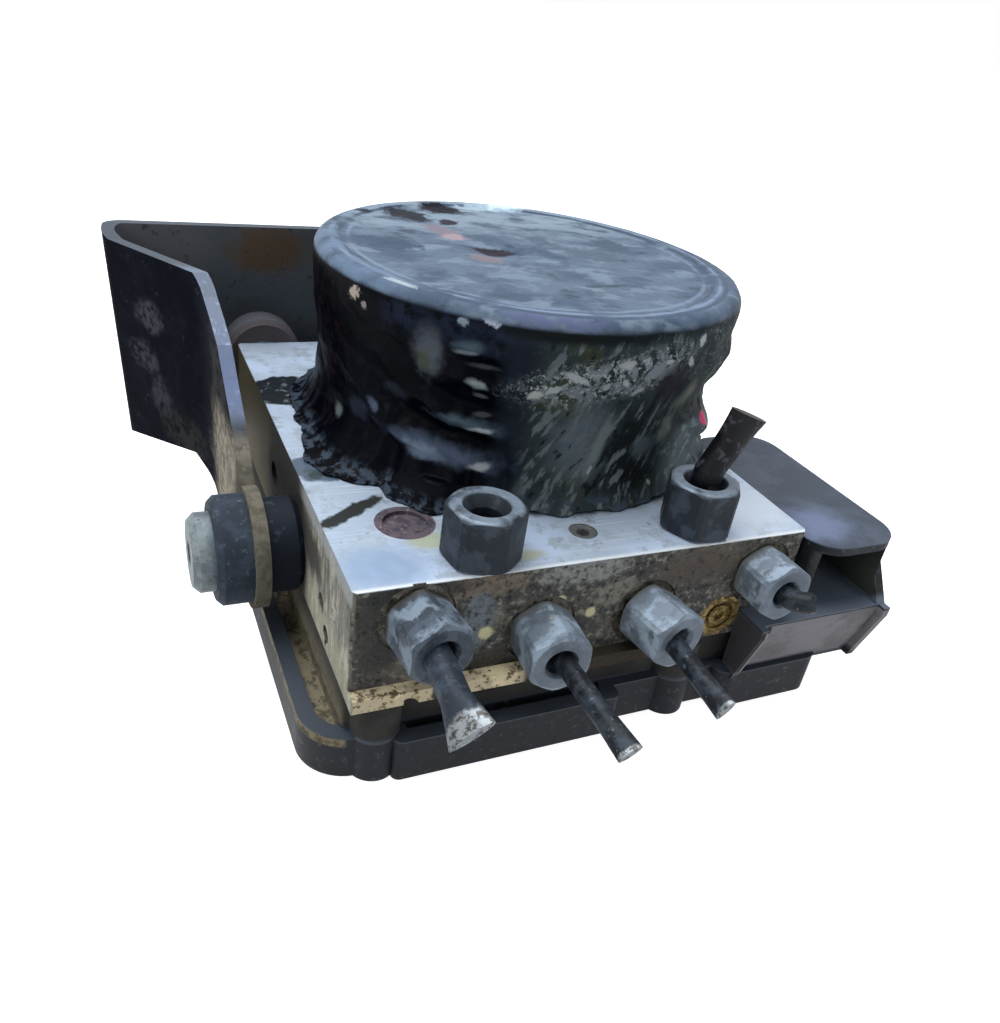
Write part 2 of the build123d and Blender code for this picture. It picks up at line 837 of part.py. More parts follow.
def valve_body():
    """Turned steel valve insert with its seat bore and the sleeve that hangs below it."""
    body = upright(0, 0, bottom, valve_top - valve_land, valve_radius)
    body += upright(0, 0, valve_top - valve_land, valve_top, valve_radius / 2)
    body += upright(0, 0, sleeve_bottom, bottom, sleeve_radius)
    body -= upright(0, 0, bottom, valve_top, valve_bore_radius)
    room = plunger_length + 2 * plunger_travel
    body -= upright(0, 0, sleeve_floor, sleeve_floor + room, sleeve_radius - sleeve_wall)
    return body - upright(0, 0, sleeve_floor, bottom, valve_bore_radius)


def valve_bodies():
    body = valve_body()
    return group(Pos(x, y, 0) * body for x, y in valve_spots)


def plunger(index):
    """Magnetic plunger that slides in the sleeve, with a grooved flank."""
    x, y = valve_spots[index]
    start = sleeve_floor + plunger_travel / 2
    end = start + plunger_length
    half = valve_bore_radius / 2
    flank = block_of(x - half, x + half, y, y + sleeve_radius, start, end)
    flank -= upright(x, y, start, end, plunger_radius - sleeve_wall / 2)
    return upright(x, y, start, end, plunger_radius) - flank


def valve_coils():
    """Plastic bobbins, each wound with copper wire."""
    inner = sleeve_radius + bobbin_clearance
    core = inner + bobbin_wall
    z0, z1 = coil_bottom, coil_bottom + coil_height
    low, high = z0 + bobbin_flange, z1 - bobbin_flange
    shape = spin(
        [
            (inner, z0), (coil_radius, z0), (coil_radius, low), (core, low),
            (core, high), (coil_radius, high), (coil_radius, z1), (inner, z1),
        ]
    )
    winding = tube((0, 0, low), (0, 0, high), coil_radius - bobbin_wall / 2, core)
    return group(Pos(x, y, 0) * part for x, y in valve_spots for part in (shape, winding))


def coil_yokes():
    """Open steel frames round the coils."""
    outer = coil_radius + coil_yoke_wall
    z0, z1 = coil_bottom, coil_bottom + coil_height
    shape = tube((0, 0, z0), (0, 0, z1), outer, coil_radius)
    shape -= block_of(-coil_radius / 2, coil_radius / 2, -outer, outer, z0, z1)
    return group(Pos(x, y, 0) * shape for x, y in valve_spots)


# ------------------------------------------------------------------- pump motor


def motor_ear(turn, spot):
    x, y = spot
    web = Rot(0, 0, turn) * block_of(
        motor_radius - can_wall, ear_reach, -ear_radius, ear_radius, top, top + ear_thickness
    )
    return web + upright(x, y, top, top + ear_thickness, ear_radius)


def can_skin():
    """Outside of the motor can with its two screw ears, without the hollow."""
    body = upright(0, 0, top, motor_top, motor_radius)
    body = fillet(body.edges().sort_by(Axis.Z)[-1], can_corner)
    for turn, spot in zip(ear_turns, ear_spots):
        body += motor_ear(turn, spot) - upright(0, 0, top, motor_top, motor_radius - can_wall)
    return body


def motor_can():
    """Deep-drawn steel can with a collar inside for the upper bush."""
    inner = motor_radius - can_wall
    hollow = upright(0, 0, top, can_ceiling, inner)
    hollow = fillet(hollow.edges().sort_by(Axis.Z)[-1], can_corner - can_wall)
    body = can_skin() - hollow
    bush_foot = can_ceiling - bush_length
    body += tube((0, 0, bush_foot), (0, 0, can_ceiling), bush_radius + collar_wall, bush_radius)
    for x, y in ear_spots:
        body -= upright(x, y, top, top + ear_thickness, motor_screw_radius)
    return body


def motor_screws():
    screws = []
    for x, y in ear_spots:
        head = top + ear_thickness
        screw = upright(x, y, top - motor_screw_reach, head, motor_screw_radius)
        screw += upright(x, y, head, head + motor_screw_head_height, motor_screw_head_radius)
        screws.append(screw)
    return group(screws)


def lobe(turn, centre, spread):
    """Share of a smooth hump on the boot at an angle in degrees."""
    return exp(2 * (cos(radians(turn - centre)) - 1) / radians(spread) ** 2)


def ramp(value, low, high):
    """Smooth rise from 0 at low to 1 at high."""
    share = min(1.0, max(0.0, (value - low) / (high - low)))
    return share * share * (3 - 2 * share)


def hem_reach(turn):
    """Reach of the skirt's hem at an angle in degrees."""
    reach = skirt_hem[0][1]
    for (low, near), (high, far) in zip(skirt_hem, skirt_hem[1:]):
        reach += (far - near) * ramp(turn, low, high)
    return motor_radius + reach


def fold_rise(turn, height):
    """How far the folds stand off the boot, at an angle in degrees and a height."""
    stand = 0.0
    for first, low, last, high, width, depth in boot_folds:
        share = (turn - first) / (last - first)
        window = ramp(share, -fold_end, fold_end) * ramp(share, 1 + fold_end / 2, 1 - fold_end / 2)
        away = (height - low - (high - low) * share) / width
        valley = fold_valley * exp(-((away - fold_valley_offset) ** 2))
        stand += depth * window * (exp(-(away ** 2)) - valley)
    return stand


def boot_wall(turn, height):
    """Radius of the film on the can at an angle in degrees and a height above the block."""
    growth = ramp(height / motor_height, boot_growth_from, 1.0)
    reach = boot_base_radius + boot_growth * growth
    overhang = ramp(height / motor_height, *rim_lobe_fade)
    reach += rim_lobe[2] * lobe(turn, *rim_lobe[:2]) * overhang
    edge = flap_edges[0] + flap_lean * (motor_height - height)
    flap = ramp(turn, edge, edge + flap_fade / 2)
    flap *= ramp(turn, flap_edges[1] + flap_fade, flap_edges[1] - flap_fade)
    reach += flap_thickness * flap * (1 - growth)
    reach += fold_rise(turn, height)
    return max(reach, motor_radius + boot_least_stand)


def ear_cover(turn, height):
    """Radius of the film that is drawn over the can's ears and their screws."""
    low = ear_thickness + motor_screw_head_height + ear_film / 2
    stand = (ear_stand + motor_screw_head_radius + ear_film) * ramp(height, low + ear_film_fall, low)
    return motor_radius + stand * max(lobe(turn, ear, ear_film_spread) for ear in ear_turns)


def boot_reach(turn, height):
    """Radius of the boot's outside, with the skirt that spreads on the block."""
    hem = hem_reach(turn)
    start = skirt_start + skirt_climb * max(0.0, hem - motor_radius - skirt_start)
    wall = boot_wall(turn, max(height, start))
    share = 1 - (min(height, start) / start) ** (1 / skirt_curve)
    return max(wall + (hem - wall) * share ** skirt_spread, ear_cover(turn, height))


def motor_boot():
    """Shrunk black wrap over the can: folds that end at a flap, a skirt and a ringed top."""
    sections = []
    for height in boot_levels + (boot_height - boot_rim, boot_height):
        shrink = boot_top_shrink if height == boot_height else 0.0
        ring = []
        for step in range(boot_points):
            turn = 360.0 * step / boot_points
            reach = boot_reach(turn, height) - shrink
            ring.append((reach * cos(radians(turn)), reach * sin(radians(turn))))
        level = Pos(0, 0, top + height)
        sections.append(level * make_face(Spline(*ring, periodic=True)))
    body = loft(sections)
    body -= upright(0, 0, ceiling_of_boot - boot_dish_depth, ceiling_of_boot, boot_dish_radius)
    head_top = top + ear_thickness + motor_screw_head_height
    body -= can_skin()
    return body - [upright(x, y, top, head_top, motor_screw_head_radius) for x, y in ear_spots]


def upper_bush():
    foot = (0, 0, can_ceiling - bush_length)
    return tube(foot, (0, 0, can_ceiling), bush_radius, shaft_radius + bush_clearance)


def motor_magnets():
    """Arc magnets glued to the inside of the can."""
    outer = motor_radius - can_wall
    inner = outer - magnet_thickness
    z0 = (core_bottom + core_top - magnet_height) / 2
    ring = tube((0, 0, z0), (0, 0, z0 + magnet_height), outer, inner)
    half = magnet_arc / 2
    far = 2 * outer
    x, y = far * cos(radians(half)), far * sin(radians(half))
    wedge_face = make_face(Polyline((0, 0, z0), (x, -y, z0), (far, 0, z0), (x, y, z0), close=True))
    magnet = ring & extrude(wedge_face, magnet_height, dir=(0, 0, 1))
    return group(Rot(0, 0, 360.0 * k / magnet_count) * magnet for k in range(magnet_count))


def brush_holder(side):
    """Small plastic channel that guides one brush along Y."""
    half = brush_width / 2 + holder_wall
    near = commutator_radius + 2 * brush_gap + holder_wall
    far = near + brush_length + brush_spring_length
    z1 = end_plate_top + brush_height + holder_wall
    channel = block_of(-half, half, side * near, side * far, end_plate_top, z1)
    slot = brush_width / 2
    stop = far - holder_wall
    roof = end_plate_top + brush_height
    return channel - block_of(-slot, slot, side * near, side * stop, end_plate_top, roof)


def brush_plate():
    """Plastic end plate in the open end of the can, with the brush holders on it."""
    edge = motor_radius - can_wall - end_plate_clearance
    plate = tube((0, 0, top), (0, 0, end_plate_top), edge, bearing_radius)
    for side in (-1, 1):
        plate += brush_holder(side)
    for x, y in lead_spots:
        plate -= upright(x, y, top, end_plate_top, lead_radius)
    return plate


def brushes():
    half = brush_width / 2
    near = commutator_radius + brush_gap
    far = near + brush_length
    roof = end_plate_top + brush_height
    return group(
        block_of(-half, half, side * near, side * far, end_plate_top, roof) for side in (-1, 1)
    )


def brush_springs():
    near = commutator_radius + brush_gap + brush_length
    far = commutator_radius + 2 * brush_gap + brush_length + brush_spring_length
    radius = brush_height / 2 - 2 * brush_gap - brush_spring_wire
    spring = coil_spring(radius, brush_spring_wire, far - near, brush_spring_turns)
    z = end_plate_top + brush_height / 2
    return group(
        Plane(origin=(0, side * near, z), z_dir=(0, side, 0)).location * spring for side in (-1, 1)
    )


def motor_leads():
    """Two terminal pins in one insulating sleeve, from the brush plate to the board."""
    sleeve = upright(lead_x, lead_from_axis, bottom, top, lead_sleeve_radius)
    for x, y in lead_spots:
        sleeve -= upright(x, y, bottom, top, lead_radius)
    pins = [upright(x, y, board_top, end_plate_top, lead_radius) for x, y in lead_spots]
    return group([sleeve] + pins)


# ------------------------------------------------------------------------ rotor


def rotor_shaft():
    """Shaft with the pump's eccentric journal turned on its lower end."""
    body = upright(0, 0, journal_bottom, shaft_top, shaft_radius)
    return body + upright(eccentricity, 0, journal_bottom, journal_top, journal_radius)


def slot_cut(z0, z1):
    """One armature slot with a narrow mouth, cut from the rim inwards."""
    inner = core_radius - slot_depth
    neck = core_radius - slot_mouth
    room = block_of(inner, neck, -slot_width / 2, slot_width / 2, z0, z1)
    half = slot_mouth / 2
    return room + block_of(neck, core_radius + slot_mouth, -half, half, z0, z1)


def armature_core():
    """Laminated core with slots for the windings."""
    core = tube((0, 0, core_bottom), (0, 0, core_top), core_radius, shaft_radius)
    cut = slot_cut(core_bottom, core_top)
    return core - (Part() + [Rot(0, 0, 360.0 * k / core_slots) * cut for k in range(core_slots)])


def armature_windings():
    """Copper that fills the slots and hangs over both ends of the core."""
    inner = core_radius - slot_depth
    outer = core_radius - slot_mouth
    body = tube((0, 0, core_bottom - winding_overhang), (0, 0, core_bottom), outer, inner)
    body += tube((0, 0, core_top), (0, 0, core_top + winding_overhang), outer, inner)
    lap = winding_overhang / 2
    bar = block_of(
        inner + slot_mouth, outer - slot_mouth, -slot_width / 2, slot_width / 2,
        core_bottom - lap, core_top + lap,
    )
    return body + [Rot(0, 0, 360.0 * k / core_slots) * bar for k in range(core_slots)]


def commutator():
    body = tube((0, 0, commutator_bottom), (0, 0, commutator_top), commutator_radius, shaft_radius)
    slit = block_of(
        commutator_radius - commutator_slit_depth, 2 * commutator_radius,
        -commutator_slit / 2, commutator_slit / 2, commutator_bottom, commutator_top,
    )
    return body - [Rot(0, 0, 360.0 * k / commutator_bars) * slit for k in range(commutator_bars)]


def bearing_outer_race():
    race = tube((0, 0, bearing_bottom), (0, 0, top), bearing_radius, bearing_radius - race_thickness)
    return race - ball_track()


ball_circle = (bearing_radius - race_thickness + shaft_radius + race_thickness) / 2
bearing_ball_radius = (bearing_radius - shaft_radius - race_thickness) / 4 + race_thickness / 4


def ball_track():
    """Groove that the bearing balls run in."""
    middle = bearing_bottom + bearing_width / 2
    place = Plane(origin=(ball_circle, 0, middle), z_dir=(0, 1, 0))
    return revolve(place * Circle(bearing_ball_radius + bearing_play), Axis.Z)


def bearing_inner_race():
    """Inner race with its balls, which turn with the shaft."""
    race = tube((0, 0, bearing_bottom), (0, 0, top), shaft_radius + race_thickness, shaft_radius)
    ball = Pos(ball_circle, 0, bearing_bottom + bearing_width / 2) * Sphere(bearing_ball_radius)
    balls = [Rot(0, 0, 360.0 * k / bearing_balls) * ball for k in range(bearing_balls)]
    return group([race - ball_track()] + balls)


def cam_ring():
    """Ring on the eccentric that pushes the pump pistons."""
    z0 = pump_height - ring_length / 2
    return Pos(eccentricity, 0, 0) * tube(
        (0, 0, z0), (0, 0, z0 + ring_length), ring_radius, journal_radius + ring_clearance
    )


# ------------------------------------------------------------------ piston pumps

pump_sides = {"left": (-1, left), "right": (1, right)}


def liner_stop(face):
    """Distance from the motor's axis to the closed end of a pump liner."""
    return abs(face) - pump_plug_length


def pump_liners():
    """Steel liners, bored blind for the pistons, with an outlet hole in the end."""
    liners = []
    for side, face in pump_sides.values():
        start = chamber_radius + liner_wall
        stop = liner_stop(face)
        outer = piston_radius + liner_wall
        liner = rod((side * start, 0, pump_height), (side * stop, 0, pump_height), outer)
        cavity = piston_end + pump_spring_length
        bore = piston_radius + piston_clearance
        liner -= rod((side * start, 0, pump_height), (side * cavity, 0, pump_height), bore)
        liner -= rod((side * cavity, 0, pump_height), (side * stop, 0, pump_height), outlet_radius)
        liners.append(liner)
    return group(liners)


def pump_piston(name):
    """Hardened piston with a domed inner end and a seal groove."""
    side = pump_sides[name][0]
    body = rod((side * piston_start, 0, pump_height), (side * piston_end, 0, pump_height), piston_radius)
    groove = piston_end - 2 * liner_wall
    ring = tube(
        (side * (groove - liner_wall), 0, pump_height), (side * groove, 0, pump_height),
        2 * piston_radius, piston_radius - liner_wall / 4,
    )
    return body - ring


def pump_spring(name):
    side = pump_sides[name][0]
    spring = coil_spring(
        piston_radius - 2 * pump_spring_wire, pump_spring_wire, pump_spring_length, pump_spring_turns
    )
    return Plane(origin=(side * piston_end, 0, pump_height), z_dir=(side, 0, 0)).location * spring


def pump_plugs():
    """Staked plugs that close the pump bores in the sides of the block."""
    plugs = []
    for side, face in pump_sides.values():
        outside = (face, 0, pump_height)
        plug = rod((face - side * pump_plug_length, 0, pump_height), outside, pump_plug_radius)
        socket = pump_plug_radius / 2
        plugs.append(plug - rod((face - side * socket, 0, pump_height), outside, socket))
    return group(plugs)


# ---------------------------------------------------------------- accumulators

accumulator_rest = accumulator_depth - accumulator_spring_wire


def accumulator_piston(index):
    """Cup piston that gives way when fluid is released, with a seal groove."""
    inner = -accumulator_rest
    outer = inner + accumulator_piston_length
    radius = accumulator_radius - accumulator_piston_clearance
    body = rod((0, 0, inner), (0, 0, outer), radius)
    body -= rod((0, 0, outer - accumulator_cup), (0, 0, outer), radius - 2 * accumulator_spring_wire)
    seal = (inner + outer) / 2
    low, high = (0, 0, seal - liner_wall / 2), (0, 0, seal + liner_wall / 2)
    body -= tube(low, high, 2 * radius, radius - liner_wall / 3)
    return accumulators[index].location * body


def accumulator_spring(index):
    seat = -accumulator_rest + accumulator_piston_length - accumulator_cup
    length = -accumulator_cap_length - seat
    spring = coil_spring(
        accumulator_spring_radius, accumulator_spring_wire, length, accumulator_spring_turns
    )
    return accumulators[index].location * Pos(0, 0, seat) * spring


def accumulator_caps():
    cap = rod((0, 0, -accumulator_cap_length), (0, 0, 0), accumulator_radius)
    cap -= rod((0, 0, -disc_dish), (0, 0, 0), accumulator_radius - 2 * disc_dish)
    cap -= rod((0, 0, -accumulator_cap_length), (0, 0, 0), outlet_radius)
    return group(bore.location * cap for bore in accumulators)


# --------------------------------------------------------- rubber mounts, bracket


def rubber_mount():
    """Spool of rubber: a flange each side of the sheet and a neck through it."""
    near = mount_standoff
    far = near + bracket_sheet
    end = far + mount_outer_length
    outline = [
        (sleeve_outer_radius, 0), (mount_inner_radius - mount_edge, 0), (mount_inner_radius, mount_edge),
        (mount_inner_radius, near), (mount_neck_radius, near), (mount_neck_radius, far),
        (mount_outer_radius, far), (mount_outer_radius, end - mount_edge),
        (mount_outer_radius - mount_edge, end), (sleeve_outer_radius, end),
    ]
    return spin(outline)


def mount_places():
    return [left_mount] + back_mounts


def mount_sleeves():
    """Steel spacer tubes that the bolts clamp to the block."""
    length = mount_standoff + bracket_sheet + mount_outer_length
    sleeve = tube((0, 0, 0), (0, 0, length), sleeve_outer_radius, sleeve_bore_radius)
    return group(place.location * sleeve for place in mount_places())


def mount_bolts():
    """Bolts with wide round heads and a hexagon socket."""
    seat = mount_standoff + bracket_sheet + mount_outer_length
    end = seat + mount_head_length
    crown = mount_head_crown
    head = [
        (0, seat), (mount_head_radius, seat), (mount_head_radius, end - crown),
        (mount_head_radius - crown, end), (0, end),
    ]
    bolt = spin(head) + rod((0, 0, -mount_bolt_reach), (0, 0, seat), mount_bolt_radius)
    hexagon = RegularPolygon(hex_socket_flats / 2, 6, major_radius=False)
    bolt -= extrude(Pos(0, 0, end - hex_socket_depth) * hexagon, hex_socket_depth)
    return group(place.location * bolt for place in mount_places())


def sheet_section(lean, flare, z):
    """Section of the bent sheet at one height, seen from above."""
    middle = side_inner - bracket_sheet / 2
    plate_middle = plate_front + bracket_sheet / 2
    line = FilletPolyline(
        (middle, mount_left_y - 2 * bracket_ear_radius),
        (middle, mount_left_y + bracket_ear_radius),
        (middle - lean, mount_left_y + bracket_bend_from_mount),
        (middle - flare, plate_middle),
        (right + bracket_right_reach, plate_middle),
        radius=bracket_bend_radii,
    )
    return Pos(0, 0, z) * trace(line, bracket_sheet)


def bracket_strip():
    """Bent sheet at full height: side plate, flared panel and back plate."""
    heights = (mount_left_z - bracket_ear_radius - bracket_sheet, bracket_top)
    sections = [
        sheet_section(lean, flare, z)
        for lean, flare, z in zip(bracket_lean, bracket_flare, heights)
    ]
    return loft(sections, ruled=True)


def bracket_profile():
    """Side view of the sheet: mount ear, rising arm edge and tall rear panel."""
    far = tray_left - block_width
    ear_y, ear_z, ear = mount_left_y, mount_left_z, bracket_ear_radius
    behind = plate_back + bracket_sheet
    points = [(ear_y, ear_z - ear)]
    points += [(ear_y + back_by, ear_z + up) for back_by, up in bracket_lower_edge]
    points += [(plate_back, bracket_bottom), (behind, bracket_bottom), (behind, bracket_top)]
    points += [(plate_front, bracket_top)]
    points += [(plate_front - 2 * bracket_sheet, bracket_top - bracket_corner_fall)]
    points += [(ear_y + back_by, ear_z + up) for back_by, up in reversed(bracket_upper_edge)]
    points += [(ear_y, ear_z + ear / 2)]
    outline = make_face(Polyline(*[(far, y, z) for y, z in points], close=True))
    reach = right + block_width - far
    body = extrude(outline, reach, dir=(1, 0, 0))
    return body + rod((far, ear_y, ear_z), (far + reach, ear_y, ear_z), ear)


def bracket():
    """Painted sheet bracket with holes for the mounts and for bolting to the body."""
    body = bracket_strip() & bracket_profile()
    hole = rod((0, 0, mount_standoff), (0, 0, mount_standoff + bracket_sheet), mount_neck_radius)
    for place in mount_places():
        body -= place.location * hole
    for side in (-1, 1):
        x = side * bracket_hole_spacing / 2
        z = top + bracket_hole_rise
        body -= rod((x, plate_front, z), (x, plate_back, z), bracket_hole_radius)
    return body


# ------------------------------------------------------------------- all pieces

pieces = {
    "valve_block": valve_block(),
    "expander_plug": expander_plug(),
    "cup_plug": cup_plug(),
    "bleed_screw": bleed_screw(),
    "gallery_balls": gallery_balls(),
    "line_nuts": line_nuts(),
    "inlet_nuts": inlet_nuts(),
    "inlet_pipe": inlet_stub(),
    "ecu_housing": ecu_housing(),
    "ecu_cover": ecu_cover(),
    "ecu_seal": seal_ring(seal_depth),
    "ecu_screws": ecu_screws(),
    "circuit_board": circuit_board(),
    "connector_pins": connector_pins(),
    "valve_bodies": valve_bodies(),
    "valve_coils": valve_coils(),
    "coil_yokes": coil_yokes(),
    "motor_can": motor_can(),
    "motor_boot": motor_boot(),
    "motor_screws": motor_screws(),
    "upper_bush": upper_bush(),
    "motor_magnets": motor_magnets(),
    "brush_plate": brush_plate(),
    "brushes": brushes(),
    "brush_springs": brush_springs(),
    "motor_leads": motor_leads(),
    "rotor_shaft": rotor_shaft(),
    "armature_core": armature_core(),
    "armature_windings": armature_windings(),
    "commutator": commutator(),
    "bearing_outer_race": bearing_outer_race(),
    "bearing_inner_race": bearing_inner_race(),
    "cam_ring": cam_ring(),
    "pump_liners": pump_liners(),
    "pump_plugs": pump_plugs(),
    "accumulator_caps": accumulator_caps(),
    "mount_sleeves": mount_sleeves(),
    "mount_bolts": mount_bolts(),
    "bracket": bracket(),
}
for index in range(len(front_ports)):
    pieces[f"line_pipe_{index + 1}"] = line_stub(index)
for index in range(len(valve_spots)):
    pieces[f"valve_plunger_{index + 1}"] = plunger(index)
for name in pump_sides:
    pieces[f"pump_piston_{name}"] = pump_piston(name)
    pieces[f"pump_spring_{name}"] = pump_spring(name)
for index in range(len(accumulators)):
    pieces[f"accumulator_piston_{index + 1}"] = accumulator_piston(index)
    pieces[f"accumulator_spring_{index + 1}"] = accumulator_spring(index)
rubber_mounts = [place.location * rubber_mount() for place in mount_places()]
pieces["rubber_mounts"] = group(rubber_mounts)

os.makedirs("parts", exist_ok=True)
for name, shape in pieces.items():
    export_step(shape, f"parts/{name}.step")
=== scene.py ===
import math

import bmesh
import bpy
from mathutils import Matrix, Vector, noise


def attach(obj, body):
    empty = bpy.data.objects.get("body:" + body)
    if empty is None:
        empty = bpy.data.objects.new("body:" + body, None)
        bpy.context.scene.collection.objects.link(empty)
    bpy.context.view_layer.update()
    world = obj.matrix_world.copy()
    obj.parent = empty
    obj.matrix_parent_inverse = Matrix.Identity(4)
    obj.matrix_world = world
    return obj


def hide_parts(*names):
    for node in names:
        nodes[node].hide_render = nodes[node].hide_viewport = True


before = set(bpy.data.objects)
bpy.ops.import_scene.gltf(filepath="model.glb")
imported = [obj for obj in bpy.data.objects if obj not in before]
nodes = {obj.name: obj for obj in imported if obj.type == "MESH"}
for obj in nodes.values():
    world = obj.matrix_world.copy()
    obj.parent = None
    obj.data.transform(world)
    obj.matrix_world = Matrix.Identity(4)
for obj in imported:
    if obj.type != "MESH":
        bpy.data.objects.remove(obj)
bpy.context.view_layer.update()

# ---------------------------------------------------------------- valve block
# The body that all the rest is fixed to: a sawn aluminium bar, faced bright on top and drilled
# for the ports and valves. Salt and road dirt have dulled its sides, and film sticks to its top.


def tint(red, green, blue):
    """A finish's colour from its eight-bit display values."""
    levels = []
    for value in (red, green, blue):
        level = value / 255
        levels.append(level / 12.92 if level <= 0.04045 else ((level + 0.055) / 1.055) ** 2.4)
    return (*levels, 1.0)


class Finish:
    """A surface finish painted in layers; sizes in millimetres, colours as eight-bit values."""

    def __init__(self, name, colour, rough=0.5, metal=0.0, gloss=0.3):
        self.made = bpy.data.materials.new(name)
        self.made.use_nodes = True
        self.tree = self.made.node_tree
        self.shader = self.tree.nodes["Principled BSDF"]
        self.shader.inputs["Specular IOR Level"].default_value = gloss
        self.shader.inputs["IOR"].default_value = 1.15 + 0.7 * gloss
        self.colour = tint(*colour)
        self.rough = rough
        self.metal = metal
        self.relief = None
        spots = self.tree.nodes.new("ShaderNodeTexCoord")
        self.place = self.sized(spots.outputs["Object"], 1000.0)
        self.wrapped = self.sized(spots.outputs["UV"], 1000.0)
        split = self.add("SeparateXYZ", {"Vector": self.place})
        self.x, self.y, self.z = (split.outputs[k] for k in "XYZ")

    def add(self, kind, inputs, **settings):
        node = self.tree.nodes.new("ShaderNode" + kind)
        for key, value in settings.items():
            setattr(node, key, value)
        for key, value in inputs.items():
            if isinstance(value, bpy.types.NodeSocket):
                self.tree.links.new(value, node.inputs[key])
            else:
                node.inputs[key].default_value = value
        return node

    def sized(self, vector, scale):
        node = self.add("VectorMath", {0: vector, "Scale": scale}, operation="SCALE")
        return node.outputs[0]

    def sum(self, kind, first, second):
        return self.add("Math", {0: first, 1: second}, operation=kind).outputs[0]

    def both(self, *masks):
        product = masks[0]
        for mask in masks[1:]:
            product = self.sum("MULTIPLY", product, mask)
        return product

    def less(self, mask):
        return self.sum("SUBTRACT", 1.0, mask)

    def step(self, value, low, high):
        """0 at low, 1 at high and a smooth rise between them, in either direction."""
        inputs = {"Value": value, "From Min": low, "From Max": high}
        if low > high:
            inputs.update({"From Min": high, "From Max": low, "To Min": 1.0, "To Max": 0.0})
        return self.add("MapRange", inputs, interpolation_type="SMOOTHSTEP").outputs[0]

    def band(self, value, start, full, still, end):
        """1 from full to still, with a smooth rise from start and fall to end."""
        return self.both(self.step(value, start, full), self.step(value, end, still))

    def facing(self, axis):
        """How far the surface faces along an axis, from -1 to 1."""
        normal = self.add("NewGeometry", {}).outputs["Normal"]
        return self.add("SeparateXYZ", {"Vector": normal}).outputs[axis]

    def cloud(self, size, detail=4.0, rough=0.6, stretch=(1, 1, 1), turn=(0, 0, 0), shift=0.0,
              swirl=0.0, wrapped=False):
        """Uneven cover with patches about size millimetres across."""
        place = self.add("Mapping", {
            "Vector": self.wrapped if wrapped else self.place,
            "Location": (shift, 0.7 * shift, -shift),
            "Rotation": tuple(math.radians(a) for a in turn),
            "Scale": tuple(size * s for s in stretch),
        }, vector_type="TEXTURE").outputs[0]
        return self.add("TexNoise", {
            "Vector": place, "Scale": 1.0, "Detail": detail, "Roughness": rough,
            "Distortion": swirl,
        }).outputs["Fac"]

    def crumbs(self, size):
        """Distance from the middle of scattered grains about size millimetres apart."""
        place = self.sized(self.place, 1 / size)
        return self.add("TexVoronoi", {"Vector": place, "Scale": 1.0}).outputs["Distance"]

    def patch(self, centre, radii, turn=0.0, tilt=0.0, soft=0.35, ragged=0.5, size=3.0, shift=0.0,
              edge=None):
        """Mask of one round patch with a ragged edge."""
        place = self.add("Mapping", {
            "Vector": self.place, "Location": centre,
            "Rotation": (math.radians(tilt), 0, math.radians(turn)), "Scale": radii,
        }, vector_type="TEXTURE").outputs[0]
        away = self.add("VectorMath", {0: place}, operation="LENGTH").outputs["Value"]
        if edge is None:
            edge = self.cloud(size, 5, 0.65, shift=shift)
        wobble = self.sum("MULTIPLY", edge, ragged * 2)
        rim = 1 + ragged
        return self.step(self.sum("ADD", away, wobble), rim + soft / 2, rim - soft / 2)

    def paint(self, mask, colour, rough=None, metal=None):
        """Lays a colour, roughness and metal share over a mask, or where several masks meet."""
        if isinstance(mask, tuple):
            mask = self.both(*mask)
        sockets = {0: mask, 6: self.colour, 7: tint(*colour)}
        self.colour = self.add("Mix", sockets, data_type="RGBA").outputs[2]
        if rough is not None:
            self.rough = self.add("Mix", {0: mask, 2: self.rough, 3: rough}).outputs[0]
        if metal is not None:
            self.metal = self.add("Mix", {0: mask, 2: self.metal, 3: metal}).outputs[0]

    def wash(self, value, low, high, colour, rough=None, metal=None):
        """Paints wherever a value passes from low to high."""
        self.paint(self.step(value, low, high), colour, rough, metal)

    def fleck(self, mask, value, low, high, colour, rough=None, metal=None):
        """Paints inside a mask wherever a value passes from low to high."""
        self.paint((mask, self.step(value, low, high)), colour, rough, metal)

    def emboss(self, height, depth):
        """Relief of a height from 0 to 1, depth millimetres deep."""
        inputs = {"Height": height, "Distance": depth / 1000, "Strength": 1.0}
        if self.relief:
            inputs["Normal"] = self.relief
        self.relief = self.add("Bump", inputs).outputs[0]

    def finished(self):
        sockets = {"Base Color": self.colour, "Roughness": self.rough, "Metallic": self.metal}
        if self.relief:
            sockets["Normal"] = self.relief
        for key, value in sockets.items():
            if isinstance(value, bpy.types.NodeSocket):
                self.tree.links.new(value, self.shader.inputs[key])
            else:
                self.shader.inputs[key].default_value = value
        return self.made


def dress(finish, *names):
    """Puts one finish on every material slot of the named solids."""
    material = finish.finished()
    for name in names:
        for slot in nodes[name].material_slots:
            slot.material = material


LEFT, FRONT, TOP = -57.3, -66.5, 46.0
ENDLESS = 999
block = Finish("block_aluminium", (98, 95, 86), rough=0.7)
blotch = block.cloud(9, 5, 0.62)
speck = block.cloud(1.6, 5, 0.7, shift=31)
streak = block.cloud(2.2, 4, 0.6, stretch=(1, 1, 4), shift=12)
grains = block.crumbs(1.5)
block.wash(blotch, 0.42, 0.6, (64, 61, 55))
block.wash(speck, 0.52, 0.66, (136, 132, 118))
block.wash(speck, 0.46, 0.34, (34, 34, 33))

front = block.step(block.y, FRONT + 0.3, FRONT + 0.1)
block.paint(front, (70, 69, 67))
block.fleck(front, blotch, 0.47, 0.6, (96, 92, 84))
block.fleck(front, speck, 0.53, 0.62, (128, 126, 116))
block.fleck(front, speck, 0.47, 0.36, (30, 31, 32))
